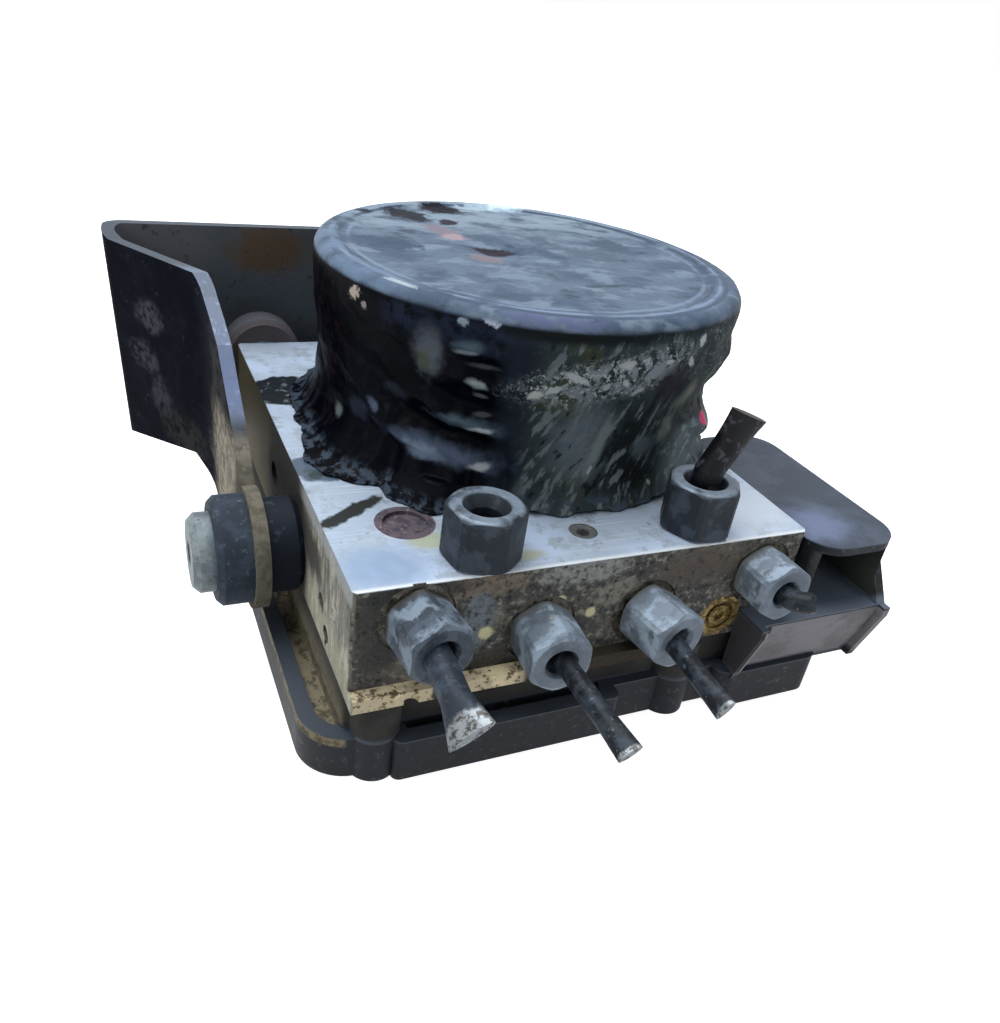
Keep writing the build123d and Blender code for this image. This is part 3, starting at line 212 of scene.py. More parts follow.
# Stains on the front: across and up, half width and height, colour, and where the noise starts
for x, z, wide, high, colour, shift in (
    (-11, 44, 9, 3.2, (138, 140, 136), 3), (-3, 37.5, 6, 3.0, (126, 124, 114), 7),
    (-33, 43.5, 9, 2.6, (116, 106, 92), 11), (-52, 36, 5, 9, (52, 53, 50), 15),
    (-46, 44, 11, 2.0, (38, 40, 40), 19), (16, 41, 11, 4.5, (84, 76, 70), 23),
    (-30, 25, 9, 3, (50, 47, 42), 27), (11, 24, 6, 3.2, (92, 70, 36), 35),
    (-33, 36, 3, 6, (108, 116, 122), 39),
):
    cover = block.patch((x, -66, z), (wide, 5, high), soft=0.5, ragged=0.6, size=4, shift=shift)
    block.paint((front, cover, block.step(speck, 0.3, 0.6)), colour)
for x, z, reach in ((-31.0, 32.6, 1.5), (-15.8, 37.6, 1.2), (-8.4, 33.4, 1.3)):
    spot = block.patch((x, -66, z), (reach,) * 3, soft=0.5, ragged=0.4, size=1)
    block.paint((front, spot), (196, 190, 150))
ledge = block.both(block.step(block.y, FRONT - 0.05, FRONT - 0.2), block.step(block.z, 26, 25))
block.paint(ledge, (190, 176, 146), rough=0.6)
block.fleck(ledge, blotch, 0.5, 0.62, (222, 206, 166))
block.fleck(ledge, speck, 0.48, 0.4, (92, 80, 60))
block.fleck(ledge, block.x, -23.5, -21.5, (50, 44, 36), rough=0.8)
# Painted shadow: a dark patch on the ledge under the left nut and its pipe.
shadow_under_nut = block.patch((-38.5, -68, 22.5), (3.4, 9, 3.2), soft=0.4, ragged=0.4, size=2)
block.paint((ledge, shadow_under_nut), (64, 58, 46), rough=0.8)

left = block.step(block.x, LEFT + 0.3, LEFT + 0.1)
block.paint(left, (112, 111, 104), rough=0.65)
block.fleck(left, streak, 0.5, 0.64, (160, 157, 143))
block.fleck(left, streak, 0.46, 0.34, (84, 82, 74))
block.fleck(left, speck, 0.44, 0.33, (70, 67, 58))
low_left = block.both(left, block.step(block.z, 34, 26), block.step(block.y, -30, -36))
block.paint((low_left, 0.4), (180, 174, 150))
# Painted shadow: the left face darkens in a patch and towards the back, where the bracket shades
# it.
shade = block.patch((-57, -37, 36), (9, 9, 4.5), soft=0.8, ragged=0.6, size=4)
block.paint((left, shade), (64, 62, 58))
block.fleck(left, block.y, -36, -27, (32, 32, 30))
block.fleck(left, block.y, 2, 9, (98, 91, 70))
near_top = block.both(left, block.step(block.y, -24, -32), block.step(block.z, 41.5, 43.5))
block.paint((near_top, 0.7), (150, 154, 154))
for y, z, reach in ((-47.1, 28.6, 0.9), (-50.4, 22.6, 0.7)):
    pit = block.patch((-57, y, z), (reach,) * 3, soft=0.4, ragged=0.2, size=1)
    block.paint((left, pit), (34, 32, 28))

top = block.step(block.z, TOP - 0.25, TOP - 0.1)
milled = block.cloud(0.5, 2, 0.5, stretch=(40, 1, 1), shift=5)
# Painted reflection: the milled top is painted blue-white with bluer patches for the sky it
# mirrors; the grey flecks after it are dust.
sky_reflection = block.cloud(22, 2, 0.5, shift=8)
block.paint(top, (160, 173, 189), rough=0.42, metal=0.3)
block.fleck(top, sky_reflection, 0.42, 0.62, (176, 191, 214))
block.fleck(top, milled, 0.5, 0.74, (184, 194, 206))
block.fleck(top, block.cloud(4, 5, 0.65, shift=61), 0.5, 0.62, (150, 161, 172), rough=0.5)
block.fleck(top, block.cloud(5, 5, 0.7, shift=44), 0.56, 0.68, (128, 138, 148), rough=0.5)


def on_top(x, y, along, across, **look):
    """Mask of a patch on the block's top."""
    return block.both(top, block.patch((x, y, TOP), (along, across, ENDLESS), **look))


# Patches on the top: the blue one at the front left is a painted sky reflection, the large pale one
# at the right front a painted highlight, and the two beige ones are lighter marks.
for x, y, along, across, soft, colour in (
    (-50, -60, 9, 6, 1.2, (138, 156, 180)), (-38.6, -53.5, 4.4, 2.6, 0.8, (160, 166, 148)),
    (-22, -62, 3, 1.4, 0.8, (170, 172, 156)), (33, -54, 13, 10, 1.2, (184, 194, 206)),
):
    block.paint(on_top(x, y, along, across, soft=soft), colour)
# Painted highlight along the top's front edge.
block.fleck(top, block.y, -65.2, -66.3, (206, 212, 216))
film = on_top(-51, 17.5, 9.5, 8.5, ragged=0.3, soft=0.12, size=5, shift=2)
block.paint(film, (24, 29, 34), rough=0.3, metal=0.0)
film_dust = block.cloud(2.6, 4, 0.6, shift=9)
block.fleck(film, film_dust, 0.55, 0.68, (92, 104, 108), rough=0.4, metal=0.0)
grey_film = on_top(-50.5, -22, 8.5, 6.2, ragged=0.3, soft=0.2, size=4, shift=6)
block.paint(grey_film, (76, 88, 102), rough=0.4, metal=0.0)
block.fleck(grey_film, blotch, 0.5, 0.6, (48, 58, 62))
smear = on_top(-50.4, -40.5, 8.6, 1.9, turn=33, ragged=0.7, soft=0.4, size=3)
block.paint(smear, (34, 37, 36), rough=0.45, metal=0.0)
collar = on_top(0, 0, 51, 51, ragged=0.03, soft=0.05, size=4, shift=14)
block.paint(collar, (22, 26, 30), rough=0.4, metal=0.0)
rough_sides = block.both(speck, block.less(top))
block.emboss(rough_sides, 0.5)
block.emboss(block.both(milled, top), 0.012)
block.emboss(block.both(block.step(grains, 0.5, 0.1), block.less(top)), 0.12)
dress(block, "valve_block")

# ------------------------------------------------------- plugs and bleed screw
# Pressed into the block: a dished steel plug that has tarnished mauve, a crimped brass cup in the
# front with swirls of old lacquer, a socket screw, and the balls that close two drillings.
dish = Finish("plug_steel", (92, 82, 90), rough=0.5, metal=0.4)
dish.wash(dish.cloud(3, 5, 0.6), 0.45, 0.6, (66, 62, 70), rough=0.6)
dish.wash(dish.cloud(1.2, 4, 0.6, shift=4), 0.58, 0.68, (128, 112, 108))
dish.emboss(dish.cloud(1.5, 4, 0.6), 0.15)
dress(dish, "expander_plug")
cup = Finish("plug_brass", (150, 132, 84), rough=0.42, metal=0.3)
swirl = cup.cloud(3.5, 5, 0.65, stretch=(2.4, 1, 1), turn=(0, 25, 0), swirl=2.5)
cup.wash(swirl, 0.42, 0.56, (84, 62, 34), rough=0.55)
cup.wash(swirl, 0.56, 0.66, (196, 178, 122), rough=0.35)
cup.wash(cup.cloud(1.4, 5, 0.7, shift=8), 0.56, 0.66, (48, 42, 30))
cup.emboss(swirl, 0.3)
dress(cup, "cup_plug")
steel = Finish("bright_steel", (150, 152, 152), rough=0.4, metal=0.9)
steel.wash(steel.cloud(2, 5, 0.65), 0.5, 0.66, (92, 92, 90), rough=0.6)
steel.wash(steel.x, -55, -56, (52, 50, 45), rough=0.75, metal=0.2)
steel.emboss(steel.cloud(0.6, 3, 0.6), 0.03)
dress(
    steel, "bleed_screw", "gallery_balls", "ecu_screws", "valve_bodies", "motor_screws",
    "rotor_shaft", "bearing_outer_race", "bearing_inner_race", "cam_ring", "pump_liners",
    "pump_plugs", "accumulator_caps", "brush_springs", "pump_piston_left", "pump_piston_right",
    "pump_spring_left", "pump_spring_right", "accumulator_spring_1", "accumulator_spring_2",
)

# ------------------------------------------------------------------ union nuts
# Hexagonal steel nuts, turned and passivated dark, that screw the pipe flares into the ports.
# Their flats have gone blue-grey with dust and their corners are rubbed.
NUT_CORNER = 0.35
CHAMFER = math.tan(math.radians(28))


def smooth_data(mesh, name):
    """Mesh data in metres, with its faces outwards, from a mesh in millimetres."""
    bmesh.ops.recalc_face_normals(mesh, faces=mesh.faces)
    bmesh.ops.scale(mesh, vec=(0.001,) * 3, verts=mesh.verts)
    data = bpy.data.meshes.new(name)
    mesh.to_mesh(data)
    mesh.free()
    data.shade_smooth()
    return data


def placed(name, data):
    """A new object in the scene, at the origin, with this data."""
    made = bpy.data.objects.new(name, data)
    bpy.context.scene.collection.objects.link(made)
    return made


def hex_nut(name, flats, length, mouth, mouth_depth, bore):
    """One nut that stands on its seat, with both ends chamfered and its corners rubbed."""
    mesh = bmesh.new()
    face = 0.93 * flats / 2
    profiles = []
    for step in range(72):
        turn = 2 * math.pi * step / 72
        off = (math.degrees(turn) + 30) % 60 - 30
        side = min(flats / 2 / math.cos(math.radians(off)), flats / math.sqrt(3) - NUT_CORNER)
        drop = (side - face) * CHAMFER
        profile = [(bore, mouth_depth), (bore, length - mouth_depth), (mouth, length - 0.4),
                   (mouth + 0.3, length), (face, length), (side, length - drop), (side, drop),
                   (face, 0), (bore, 0)]
        profiles.append([
            mesh.verts.new((r * math.cos(turn), r * math.sin(turn), z)) for r, z in profile
        ])
    for one, two in zip(profiles, profiles[1:] + profiles[:1]):
        for low in range(len(one)):
            high = (low + 1) % len(one)
            mesh.faces.new((one[low], two[low], two[high], one[high]))
    data = smooth_data(mesh, name)
    data.set_sharp_from_angle(angle=math.radians(22))
    return bpy.data.objects.new(name, data)


def nut_row_tree():
    """Puts one nut at each point of a mesh, turned and sized by the point's own values."""
    tree = bpy.data.node_groups.new("nut_row", "GeometryNodeTree")
    tree.interface.new_socket("Geometry", in_out="INPUT", socket_type="NodeSocketGeometry")
    tree.interface.new_socket("Nut", in_out="INPUT", socket_type="NodeSocketObject")
    tree.interface.new_socket("Size", in_out="INPUT", socket_type="NodeSocketFloat")
    tree.interface.new_socket("Finish", in_out="INPUT", socket_type="NodeSocketMaterial")
    tree.interface.new_socket("Geometry", in_out="OUTPUT", socket_type="NodeSocketGeometry")
    kinds = {
        "start": "NodeGroupInput", "end": "NodeGroupOutput", "nut": "GeometryNodeObjectInfo",
        "turn": "GeometryNodeInputNamedAttribute", "stretch": "GeometryNodeInputNamedAttribute",
        "scale": "ShaderNodeVectorMath", "copies": "GeometryNodeInstanceOnPoints",
        "real": "GeometryNodeRealizeInstances", "coat": "GeometryNodeSetMaterial",
    }
    made = {key: tree.nodes.new(kind) for key, kind in kinds.items()}
    for key in ("turn", "stretch"):
        made[key].data_type = "FLOAT_VECTOR"
        made[key].inputs["Name"].default_value = key
    made["scale"].operation = "SCALE"
    for source, output, target, socket in (
        ("start", "Nut", "nut", "Object"), ("stretch", "Attribute", "scale", 0),
        ("start", "Size", "scale", "Scale"), ("start", "Geometry", "copies", "Points"),
        ("nut", "Geometry", "copies", "Instance"), ("turn", "Attribute", "copies", "Rotation"),
        ("scale", 0, "copies", "Scale"), ("copies", 0, "real", 0), ("real", 0, "coat", 0),
        ("start", "Finish", "coat", "Material"), ("coat", 0, "end", 0),
    ):
        tree.links.new(made[source].outputs[output], made[target].inputs[socket])
    return tree


def plain_mesh(piece, name):
    """The piece's modifiers worked out into a plain mesh under its own name."""
    bpy.context.view_layer.update()
    shown = piece.evaluated_get(bpy.context.evaluated_depsgraph_get())
    data = bpy.data.meshes.new_from_object(shown)
    piece.modifiers.clear()
    bpy.data.objects.remove(piece)
    return placed(name, data)


def set_inputs(modifier, **values):
    """Sets a node modifier's inputs, looked up by name, at their sockets' identifiers."""
    for item in modifier.node_group.interface.items_tree:
        if item.in_out == "INPUT" and item.name in values:
            modifier[item.identifier] = values[item.name]


def nut_row(name, nut, places, finish):
    """Nuts at places, each an own spot, turn in degrees about X, Y and Z, and stretch."""
    data = bpy.data.meshes.new(name + "_places")
    data.from_pydata([Vector(p) / 1000 for p, turn, stretch in places], [], [])
    for key, values in (
        ("turn", [[math.radians(a) for a in turn] for p, turn, stretch in places]),
        ("stretch", [stretch for p, turn, stretch in places]),
    ):
        held = data.attributes.new(key, "FLOAT_VECTOR", "POINT")
        held.data.foreach_set("vector", [v for row in values for v in row])
    row = placed(name + "_places", data)
    modifier = row.modifiers.new("nuts", "NODES")
    modifier.node_group = nut_row_tree()
    set_inputs(modifier, Nut=nut, Size=1.0, Finish=finish)
    made = plain_mesh(row, name)
    bpy.data.objects.remove(nut)
    return made


nuts = Finish("nut_steel", (74, 84, 96), rough=0.5, metal=0.35)
dull = nuts.cloud(5, 5, 0.6)
nuts.wash(dull, 0.44, 0.58, (126, 140, 154), rough=0.6)
nuts.wash(nuts.cloud(3.2, 4, 0.6, shift=3), 0.52, 0.64, (54, 61, 70))
nuts.wash(nuts.cloud(2.2, 5, 0.7, shift=13), 0.62, 0.7, (136, 126, 104))
dusty = nuts.both(nuts.step(nuts.y, -68.5, -67), nuts.step(nuts.z, 46, 45))
nuts.paint(dusty, (74, 72, 66), rough=0.75)
# Painted shade: the line nuts' end faces, turned away from the lamps, are darkened.
mouth = nuts.both(nuts.step(nuts.facing("Y"), -0.8, -0.95), nuts.step(nuts.y, -74, -75))
nuts.paint((mouth, 0.75), (60, 67, 77), rough=0.6)
# Painted light: the nuts at the left are shaded darker and the others lightened a little.
shaded = nuts.step(nuts.x, -30, -36)
nuts.paint((shaded, 0.3), (30, 34, 40))
nuts.paint((nuts.less(shaded), 0.16), (176, 190, 202))
standing = nuts.step(nuts.z, 45.5, 46.2)
nuts.paint(standing, (34, 39, 46), rough=0.5)
nuts.fleck(standing, dull, 0.45, 0.6, (54, 61, 70))
lips = nuts.step(nuts.z, 56.5, 56.95)
nuts.fleck(lips, dull, 0.3, 0.55, (112, 124, 136))
nuts.emboss(nuts.cloud(0.8, 4, 0.6, shift=9), 0.08)
nut_finish = nuts.finished()
SEAT = -66.1
LINE_NUT = {"flats": 12.0, "length": 11.5, "mouth": 3.1, "mouth_depth": 1.0, "bore": 2.85}
INLET_NUT = {"flats": 14.0, "length": 11.0, "mouth": 4.4, "mouth_depth": 2.6, "bore": 3.2}
line_ports = (  # Across, up, length and turn
    (-45.3, 38.5, 1.0, 6), (-19.3, 31.5, 1.0, -4), (4.7, 31.5, 1.0, 9), (32.7, 37.1, 0.82, 0),
)
line_nuts = nut_row(
    "line_nuts_turned", hex_nut("line_nut", **LINE_NUT),
    [((x, SEAT, z), (90, 0, turn), (1, 1, long)) for x, z, long, turn in line_ports], nut_finish,
)
inlet_nuts = nut_row(
    "inlet_nuts_turned", hex_nut("inlet_nut", **INLET_NUT),
    [((-31.2, -59.9, TOP), (0, 0, 8), (1, 1, 1)), ((17.7, -59.1, TOP), (0, 0, 26), (1, 1, 1))],
    nut_finish,
)
for piece, node in ((line_nuts, "line_nuts"), (inlet_nuts, "inlet_nuts")):
    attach(piece, "module")
    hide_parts(node)

# ----------------------------------------------------------------- pipe stubs
# Coated steel pipes that were cut off with pliers, so each ends in a crushed, partly bright lip.
# They are held by the nuts on their flares.
pipe = Finish("pipe_coating", (24, 28, 34), rough=0.42, metal=0.2)
pipe.wash(pipe.cloud(3, 5, 0.6), 0.46, 0.6, (52, 60, 70), rough=0.5)
first = pipe.step(pipe.x, -38, -40)
pipe.paint(first, (40, 48, 58), rough=0.5)
pipe.fleck(first, pipe.cloud(3, 5, 0.6, shift=4), 0.5, 0.62, (60, 71, 85), rough=0.5)
pipe.wash(pipe.cloud(1.1, 4, 0.7, shift=6), 0.6, 0.7, (86, 95, 104))
for middle, radii in (
    ((-45.3, -93.5, 38.0), (7, 2.6, 5)), ((-19.0, -101.0, 31.3), (3, 1.4, 3)),
    ((4.1, -97.0, 31.5), (3, 1.4, 3)),
):
    cut = pipe.patch(middle, radii, soft=0.3, ragged=0.4, size=1.6)
    pipe.paint(cut, (140, 146, 150), rough=0.35, metal=0.6)
    pipe.fleck(cut, pipe.cloud(1.2, 5, 0.7, shift=16), 0.48, 0.6, (74, 72, 68))
pipe.paint(0.34, (8, 10, 14))
stem = pipe.both(pipe.step(pipe.z, 52, 54), pipe.step(pipe.y, -66, -64))
pipe.paint(stem, (9, 10, 14), rough=0.45)
pipe.fleck(stem, pipe.cloud(2.5, 5, 0.6, shift=21), 0.54, 0.66, (58, 58, 66))
pipe.emboss(pipe.cloud(1.0, 4, 0.6, shift=2), 0.1)
dress(pipe, "inlet_pipe", *[f"line_pipe_{k}" for k in range(1, 5)])

# --------------------------------------------------------------- control unit
# A moulded tray of black glass-filled nylon, held under the block by four screws, with its cover
# welded on below and its connector beside the block. It is grey with road dust.
tray = Finish("housing_plastic", (14, 17, 23), rough=0.55, gloss=0.3)
haze = tray.cloud(14, 5, 0.6)
fine = tray.cloud(1.8, 5, 0.65, shift=5)
tray.wash(haze, 0.42, 0.62, (27, 30, 37), rough=0.65)
tray.wash(fine, 0.56, 0.68, (58, 61, 64))
neck = tray.both(tray.band(tray.z, 11.0, 13.0, 20.8, 21.2), tray.step(tray.x, 44, 43))
tray.paint(neck, (50, 49, 47), rough=0.8)
tray.fleck(neck, haze, 0.45, 0.62, (34, 34, 32))
gully = tray.both(tray.band(tray.z, 9.6, 9.9, 12, 20), tray.step(tray.x, -56.5, -57.5))
tray.paint(gully, (118, 110, 90), rough=0.85)
tray.fleck(gully, fine, 0.46, 0.6, (74, 68, 56))
tray.paint(tray.band(tray.z, 11.5, 11.9, 12.2, 13), (52, 58, 66), rough=0.45)
shelf = tray.step(tray.z, 43.6, 43.9)
tray.paint(shelf, (54, 62, 74), rough=0.5)
tray.fleck(shelf, haze, 0.44, 0.6, (68, 76, 88))
scuff = tray.patch((49.5, -62, 44), (8, 6, ENDLESS), soft=1.4, ragged=0.7, size=5)
tray.paint((shelf, scuff), (98, 108, 132), rough=0.6)
chin = tray.both(tray.step(tray.y, -66.6, -67.2), tray.band(tray.z, 12.0, 13.5, 26.6, 27.0),
                 tray.step(tray.x, 29, 31))
tray.paint(chin, (122, 120, 124), rough=0.7)
tray.fleck(chin, haze, 0.45, 0.6, (100, 98, 101))
# Painted shadow: dark strips beside the light rib on the chin, where the slots behind it are in
# shade.
tray.fleck(chin, tray.x, 34.8, 34.5, (20, 20, 23))
tray.paint((chin, tray.band(tray.x, 31.5, 31.8, 33.1, 33.4)), (132, 136, 136))
lip = tray.both(tray.band(tray.z, 27.1, 27.3, 28.0, 30), tray.step(tray.x, 30, 31))
tray.paint(lip, (92, 101, 114), rough=0.5)
socket = tray.both(tray.step(tray.y, -72.0, -70.5), tray.band(tray.z, 27.6, 28.2, 41.6, 42.4),
                   tray.band(tray.x, 44, 45.2, 65.2, 65.6))
tray.paint(socket, (58, 60, 58), rough=0.8)
tray.emboss(fine, 0.1)
tray.emboss(tray.cloud(0.35, 2, 0.5, shift=3), 0.02)
dress(tray, "ecu_housing")
lid = Finish("cover_plastic", (34, 36, 38), rough=0.6)
lid.wash(lid.cloud(9, 5, 0.6), 0.45, 0.62, (50, 52, 52), rough=0.7)
lid.emboss(lid.cloud(0.5, 3, 0.6), 0.03)
dress(lid, "ecu_cover")
seal = Finish("seal_rubber", (20, 20, 22), rough=0.6)
seal.wash(seal.cloud(3, 3), 0.5, 0.6, (30, 30, 32))
dress(seal, "ecu_seal")
board = Finish("board_laminate", (24, 84, 48), rough=0.35)
board.wash(board.cloud(6, 2, 0.5, stretch=(3, 1, 1)), 0.52, 0.54, (32, 104, 60))
board.wash(board.crumbs(7), 0.2, 0.15, (176, 160, 110), metal=0.8)
dress(board, "circuit_board")
contact = Finish("terminal_metal", (190, 168, 110), rough=0.3, metal=0.9)
contact.wash(contact.cloud(2, 4), 0.5, 0.65, (140, 118, 76), rough=0.45)
dress(contact, "connector_pins")

# --------------------------------------------------------------- valves inside
# Coils of lacquered copper wire, wound on bobbins and set in steel yokes, slide over the valve
# sleeves that are pressed into the block from below. A steel plunger moves in each sleeve.
coil = Finish("coil_winding", (124, 66, 34), rough=0.35, metal=0.3)
turns = coil.cloud(0.5, 1, 0.5, stretch=(30, 30, 1))
coil.wash(turns, 0.45, 0.6, (84, 42, 22))
coil.emboss(turns, 0.1)
dress(coil, "valve_coils")
core = Finish("core_steel", (112, 114, 116), rough=0.5, metal=0.8)
layers = core.cloud(0.5, 1, 0.5, stretch=(60, 60, 1))
core.wash(layers, 0.45, 0.6, (78, 78, 78), rough=0.6)
core.emboss(layers, 0.05)
dress(core, "coil_yokes", "armature_core", *[f"valve_plunger_{k}" for k in range(1, 9)])

# ----------------------------------------------------------------- pump motor
# A deep-drawn can with magnets, brushes and a wound armature, screwed to the block by two ears.
# The wrap hides all of it.
can = Finish("can_steel", (132, 136, 138), rough=0.4, metal=0.85)
can.wash(can.cloud(6, 5, 0.6), 0.5, 0.64, (104, 104, 100), rough=0.55)
can.emboss(can.cloud(0.5, 3, 0.6, stretch=(1, 1, 8)), 0.03)
dress(can, "motor_can")
bronze = Finish("bush_bronze", (160, 118, 66), rough=0.45, metal=0.8)
bronze.wash(bronze.cloud(0.8, 3), 0.5, 0.62, (112, 80, 44), rough=0.6)
dress(bronze, "upper_bush")
ferrite = Finish("magnet_ferrite", (48, 48, 50), rough=0.6, metal=0.1)
ferrite.wash(ferrite.cloud(1.0, 4, 0.7), 0.5, 0.62, (66, 66, 68))
dress(ferrite, "motor_magnets")
holder = Finish("plate_plastic", (188, 182, 164), rough=0.5)
holder.wash(holder.cloud(4, 4), 0.5, 0.62, (166, 158, 138))
dress(holder, "brush_plate", "motor_leads")
carbon = Finish("brush_carbon", (34, 34, 34), rough=0.5)
carbon.wash(carbon.cloud(0.5, 3), 0.52, 0.6, (52, 50, 48))
dress(carbon, "brushes")
copper = Finish("copper", (178, 98, 60), rough=0.35, metal=0.8)
copper.wash(copper.cloud(0.7, 2, stretch=(1, 1, 14)), 0.48, 0.6, (126, 62, 36))
dress(copper, "armature_windings", "commutator")
cast = Finish("accumulator_aluminium", (168, 170, 172), rough=0.4, metal=0.7)
cast.wash(cast.cloud(0.6, 2, stretch=(1, 12, 1)), 0.5, 0.6, (140, 142, 144))
dress(cast, "accumulator_piston_1", "accumulator_piston_2")

# ------------------------------------------------------------------ motor wrap
# Thick black film, shrunk and folded over the motor can by hand. It bunches into leaning folds
# that end against an overlapping flap, and spreads in a ragged skirt on the block.
TURNS = 500
CAN = 44.0
LINING = CAN + 0.25
SKIRT_FOOT = 46.15
SKIRT_START = 51.0
BROW = 82.6
WALL_TOP = 83.0
CAN_TOP = 83.3
DISH = 85.75
RIM_TOP = 86.4
ROLL = 2.9
EAR_TURNS = (50, 230)
EAR_REACH = 49.0
EAR_ROOM = 54.6
# How far the hem reaches: turn and distance from the motor's axis
hem_turns = (
    (0, 49.5), (25, 50), (38, 55), (50, 57.6), (62, 55), (76, 49.5), (110, 48.5), (134, 48.0),
    (146, 51.5), (160, 53.0), (176, 52), (186, 52.5), (194, 55.5), (200, 58), (206, 58),
    (212, 56), (217, 54), (224, 56.5), (231, 57.5), (238, 53), (250, 49.5), (260, 51.5),
    (268, 50.0), (276, 51.0), (291, 50), (311, 49.5), (332, 50.5), (360, 49.5),
)
# Folds: from turn and height to turn and height, half width, height off the can
folds = (
    (205, 58.5, 244, 53.6, 2.3, 3.3), (221, 64.8, 244, 61.5, 1.9, 2.3),
    (228, 72.4, 243, 70.2, 1.6, 1.5), (229, 78.8, 241, 77.4, 1.2, 1.0),
    (192, 66.0, 214, 60.5, 2.6, 1.0), (252, 73.0, 292, 80.0, 1.8, 0.6),
    (300, 77.0, 334, 72.0, 2.0, 0.7), (304, 58.5, 326, 55.5, 4.0, 3.0),
    (20, 60.0, 60, 54.0, 2.4, 1.4), (60, 70.0, 110, 62.0, 2.4, 1.2),
    (112, 58.0, 150, 66.0, 2.2, 1.4),
)


def fade(value, low, high):
    """0 at low, 1 at high and a smooth rise between them."""
    share = min(1.0, max(0.0, (value - low) / (high - low)))
    return share * share * (3 - 2 * share)


def hem_reach(turn):
    """How far the skirt's hem lies from the motor's axis at a turn in degrees."""
    for (low, near), (high, far) in zip(hem_turns, hem_turns[1:]):
        if low <= turn <= high:
            ragged = noise.fractal(Vector((turn * 0.21, 3.0, 0.0)), 0.9, 2.0, 4)
            ragged *= 0.9 * min(1, abs(turn - 360) / 9, turn / 9)
            return near + (far - near) * fade(turn, low, high) + ragged


def around(turn, height, size, seed):
    """Smooth noise on the can that closes on itself, from a turn and a height."""
    angle = math.radians(turn)
    ring = Vector((CAN * math.cos(angle), CAN * math.sin(angle), height))
    return noise.fractal(ring / size + Vector((seed, -seed, seed)), 0.75, 2.1, 4)


def creases(turn, height, size, seed):
    """Sharp-backed creases between flat facets, from 0 to about 1."""
    return 1.0 - min(1.0, 2.2 * abs(around(turn, height, size, seed)))


def wrap_reach(turn, height):
    """Outside radius of the film on the can."""
    up = (height - TOP) / (WALL_TOP - TOP)
    reach = 46.8 + 1.4 * fade(up, 0.4, 1.0)
    right = math.exp(-((((turn - 332 + 180) % 360) - 180) / 40) ** 2)
    reach += 1.8 * right * fade(up, 0.5, 0.68)
    for start, low, end, high, width, size in folds:
        if start - 8 < turn < end + 8:
            share = (turn - start) / (end - start)
            middle = low + (high - low) * share + 1.1 * around(turn, low, 9, start)
            window = fade(share, -0.12, 0.3) * fade(share, 1.04, 0.98 if start < 240 else 0.7)
            away = (height - middle) / width
            back = math.exp(-abs(away) ** 1.5) - 0.42 * math.exp(-((away - 1.9) ** 2))
            reach += size * window * back
    seam = 238.0 + (WALL_TOP - height) * 0.27
    flap = fade(turn, seam, seam + 1.2) * fade(turn, 318, 290) * fade(up, 1.0, 0.93)
    reach += 0.9 * flap
    lean = turn - 0.45 * (height - 60)
    ribs = math.sin(math.radians(lean) * 34 + 2.5 * around(turn, height, 16, 5))
    reach += 0.16 * ribs * flap * fade(up, 0.98, 0.7) * (0.5 + 0.5 * around(turn, height, 12, 9))
    pleats = math.sin(math.radians(turn) * 23 + 3 * around(turn, 60, 20, 2))
    outer = min(1, fade(turn, 296, 312) + fade(turn, 160, 135))
    reach += 0.3 * pleats * outer * fade(up, 1.0, 0.7)
    calm = 0.3 + 0.7 * fade(up, 0.96, 0.75) * (1 - 0.7 * math.exp(-((turn - 190) / 20) ** 2))
    reach += calm * (0.55 * creases(turn, height, 20, 7) - 0.28)
    reach += 0.14 * calm * around(turn, height, 5, 3)
    return max(reach, CAN + 0.55)


def ear_cover(x, y):
    """Height of the film over the two screwed ears of the can."""
    high = 0.0
    for turn in EAR_TURNS:
        angle = math.radians(turn)
        away = math.hypot(x - EAR_REACH * math.cos(angle), y - EAR_REACH * math.sin(angle))
        high = max(high, 5.0 * fade(away, 8.2, 3.6))
    return high


def top_height(x, y):
    """Height of the flat, slightly dished top with its ringed edge, wrinkles and dents."""
    away = math.hypot(x, y)
    height = DISH + (RIM_TOP - DISH) * fade(away, 41.6, 43.4)
    height += 0.16 * math.exp(-((away - 40.2) / 0.7) ** 2)
    height += 0.28 * noise.fractal(Vector((x, y, 0)) / 13, 0.8, 2.1, 5) * fade(away, 46, 41)
    height += 0.10 * creases(math.degrees(math.atan2(y, x)), 3 * away, 9, 21) * fade(away, 45, 40)
    for px, py, wide, deep in (
        (-8.5, 0.5, 4.6, -1.0), (-4.0, 12.0, 6.0, 0.5), (-16, -6, 5, 0.45),
        (-14, 26, 7, -0.6), (18, 20, 9, 0.4), (22, -8, 8, -0.35),
    ):
        height += deep * math.exp(-(((x - px) / wide) ** 2 + ((y - py) / wide / 0.75) ** 2))
    return height


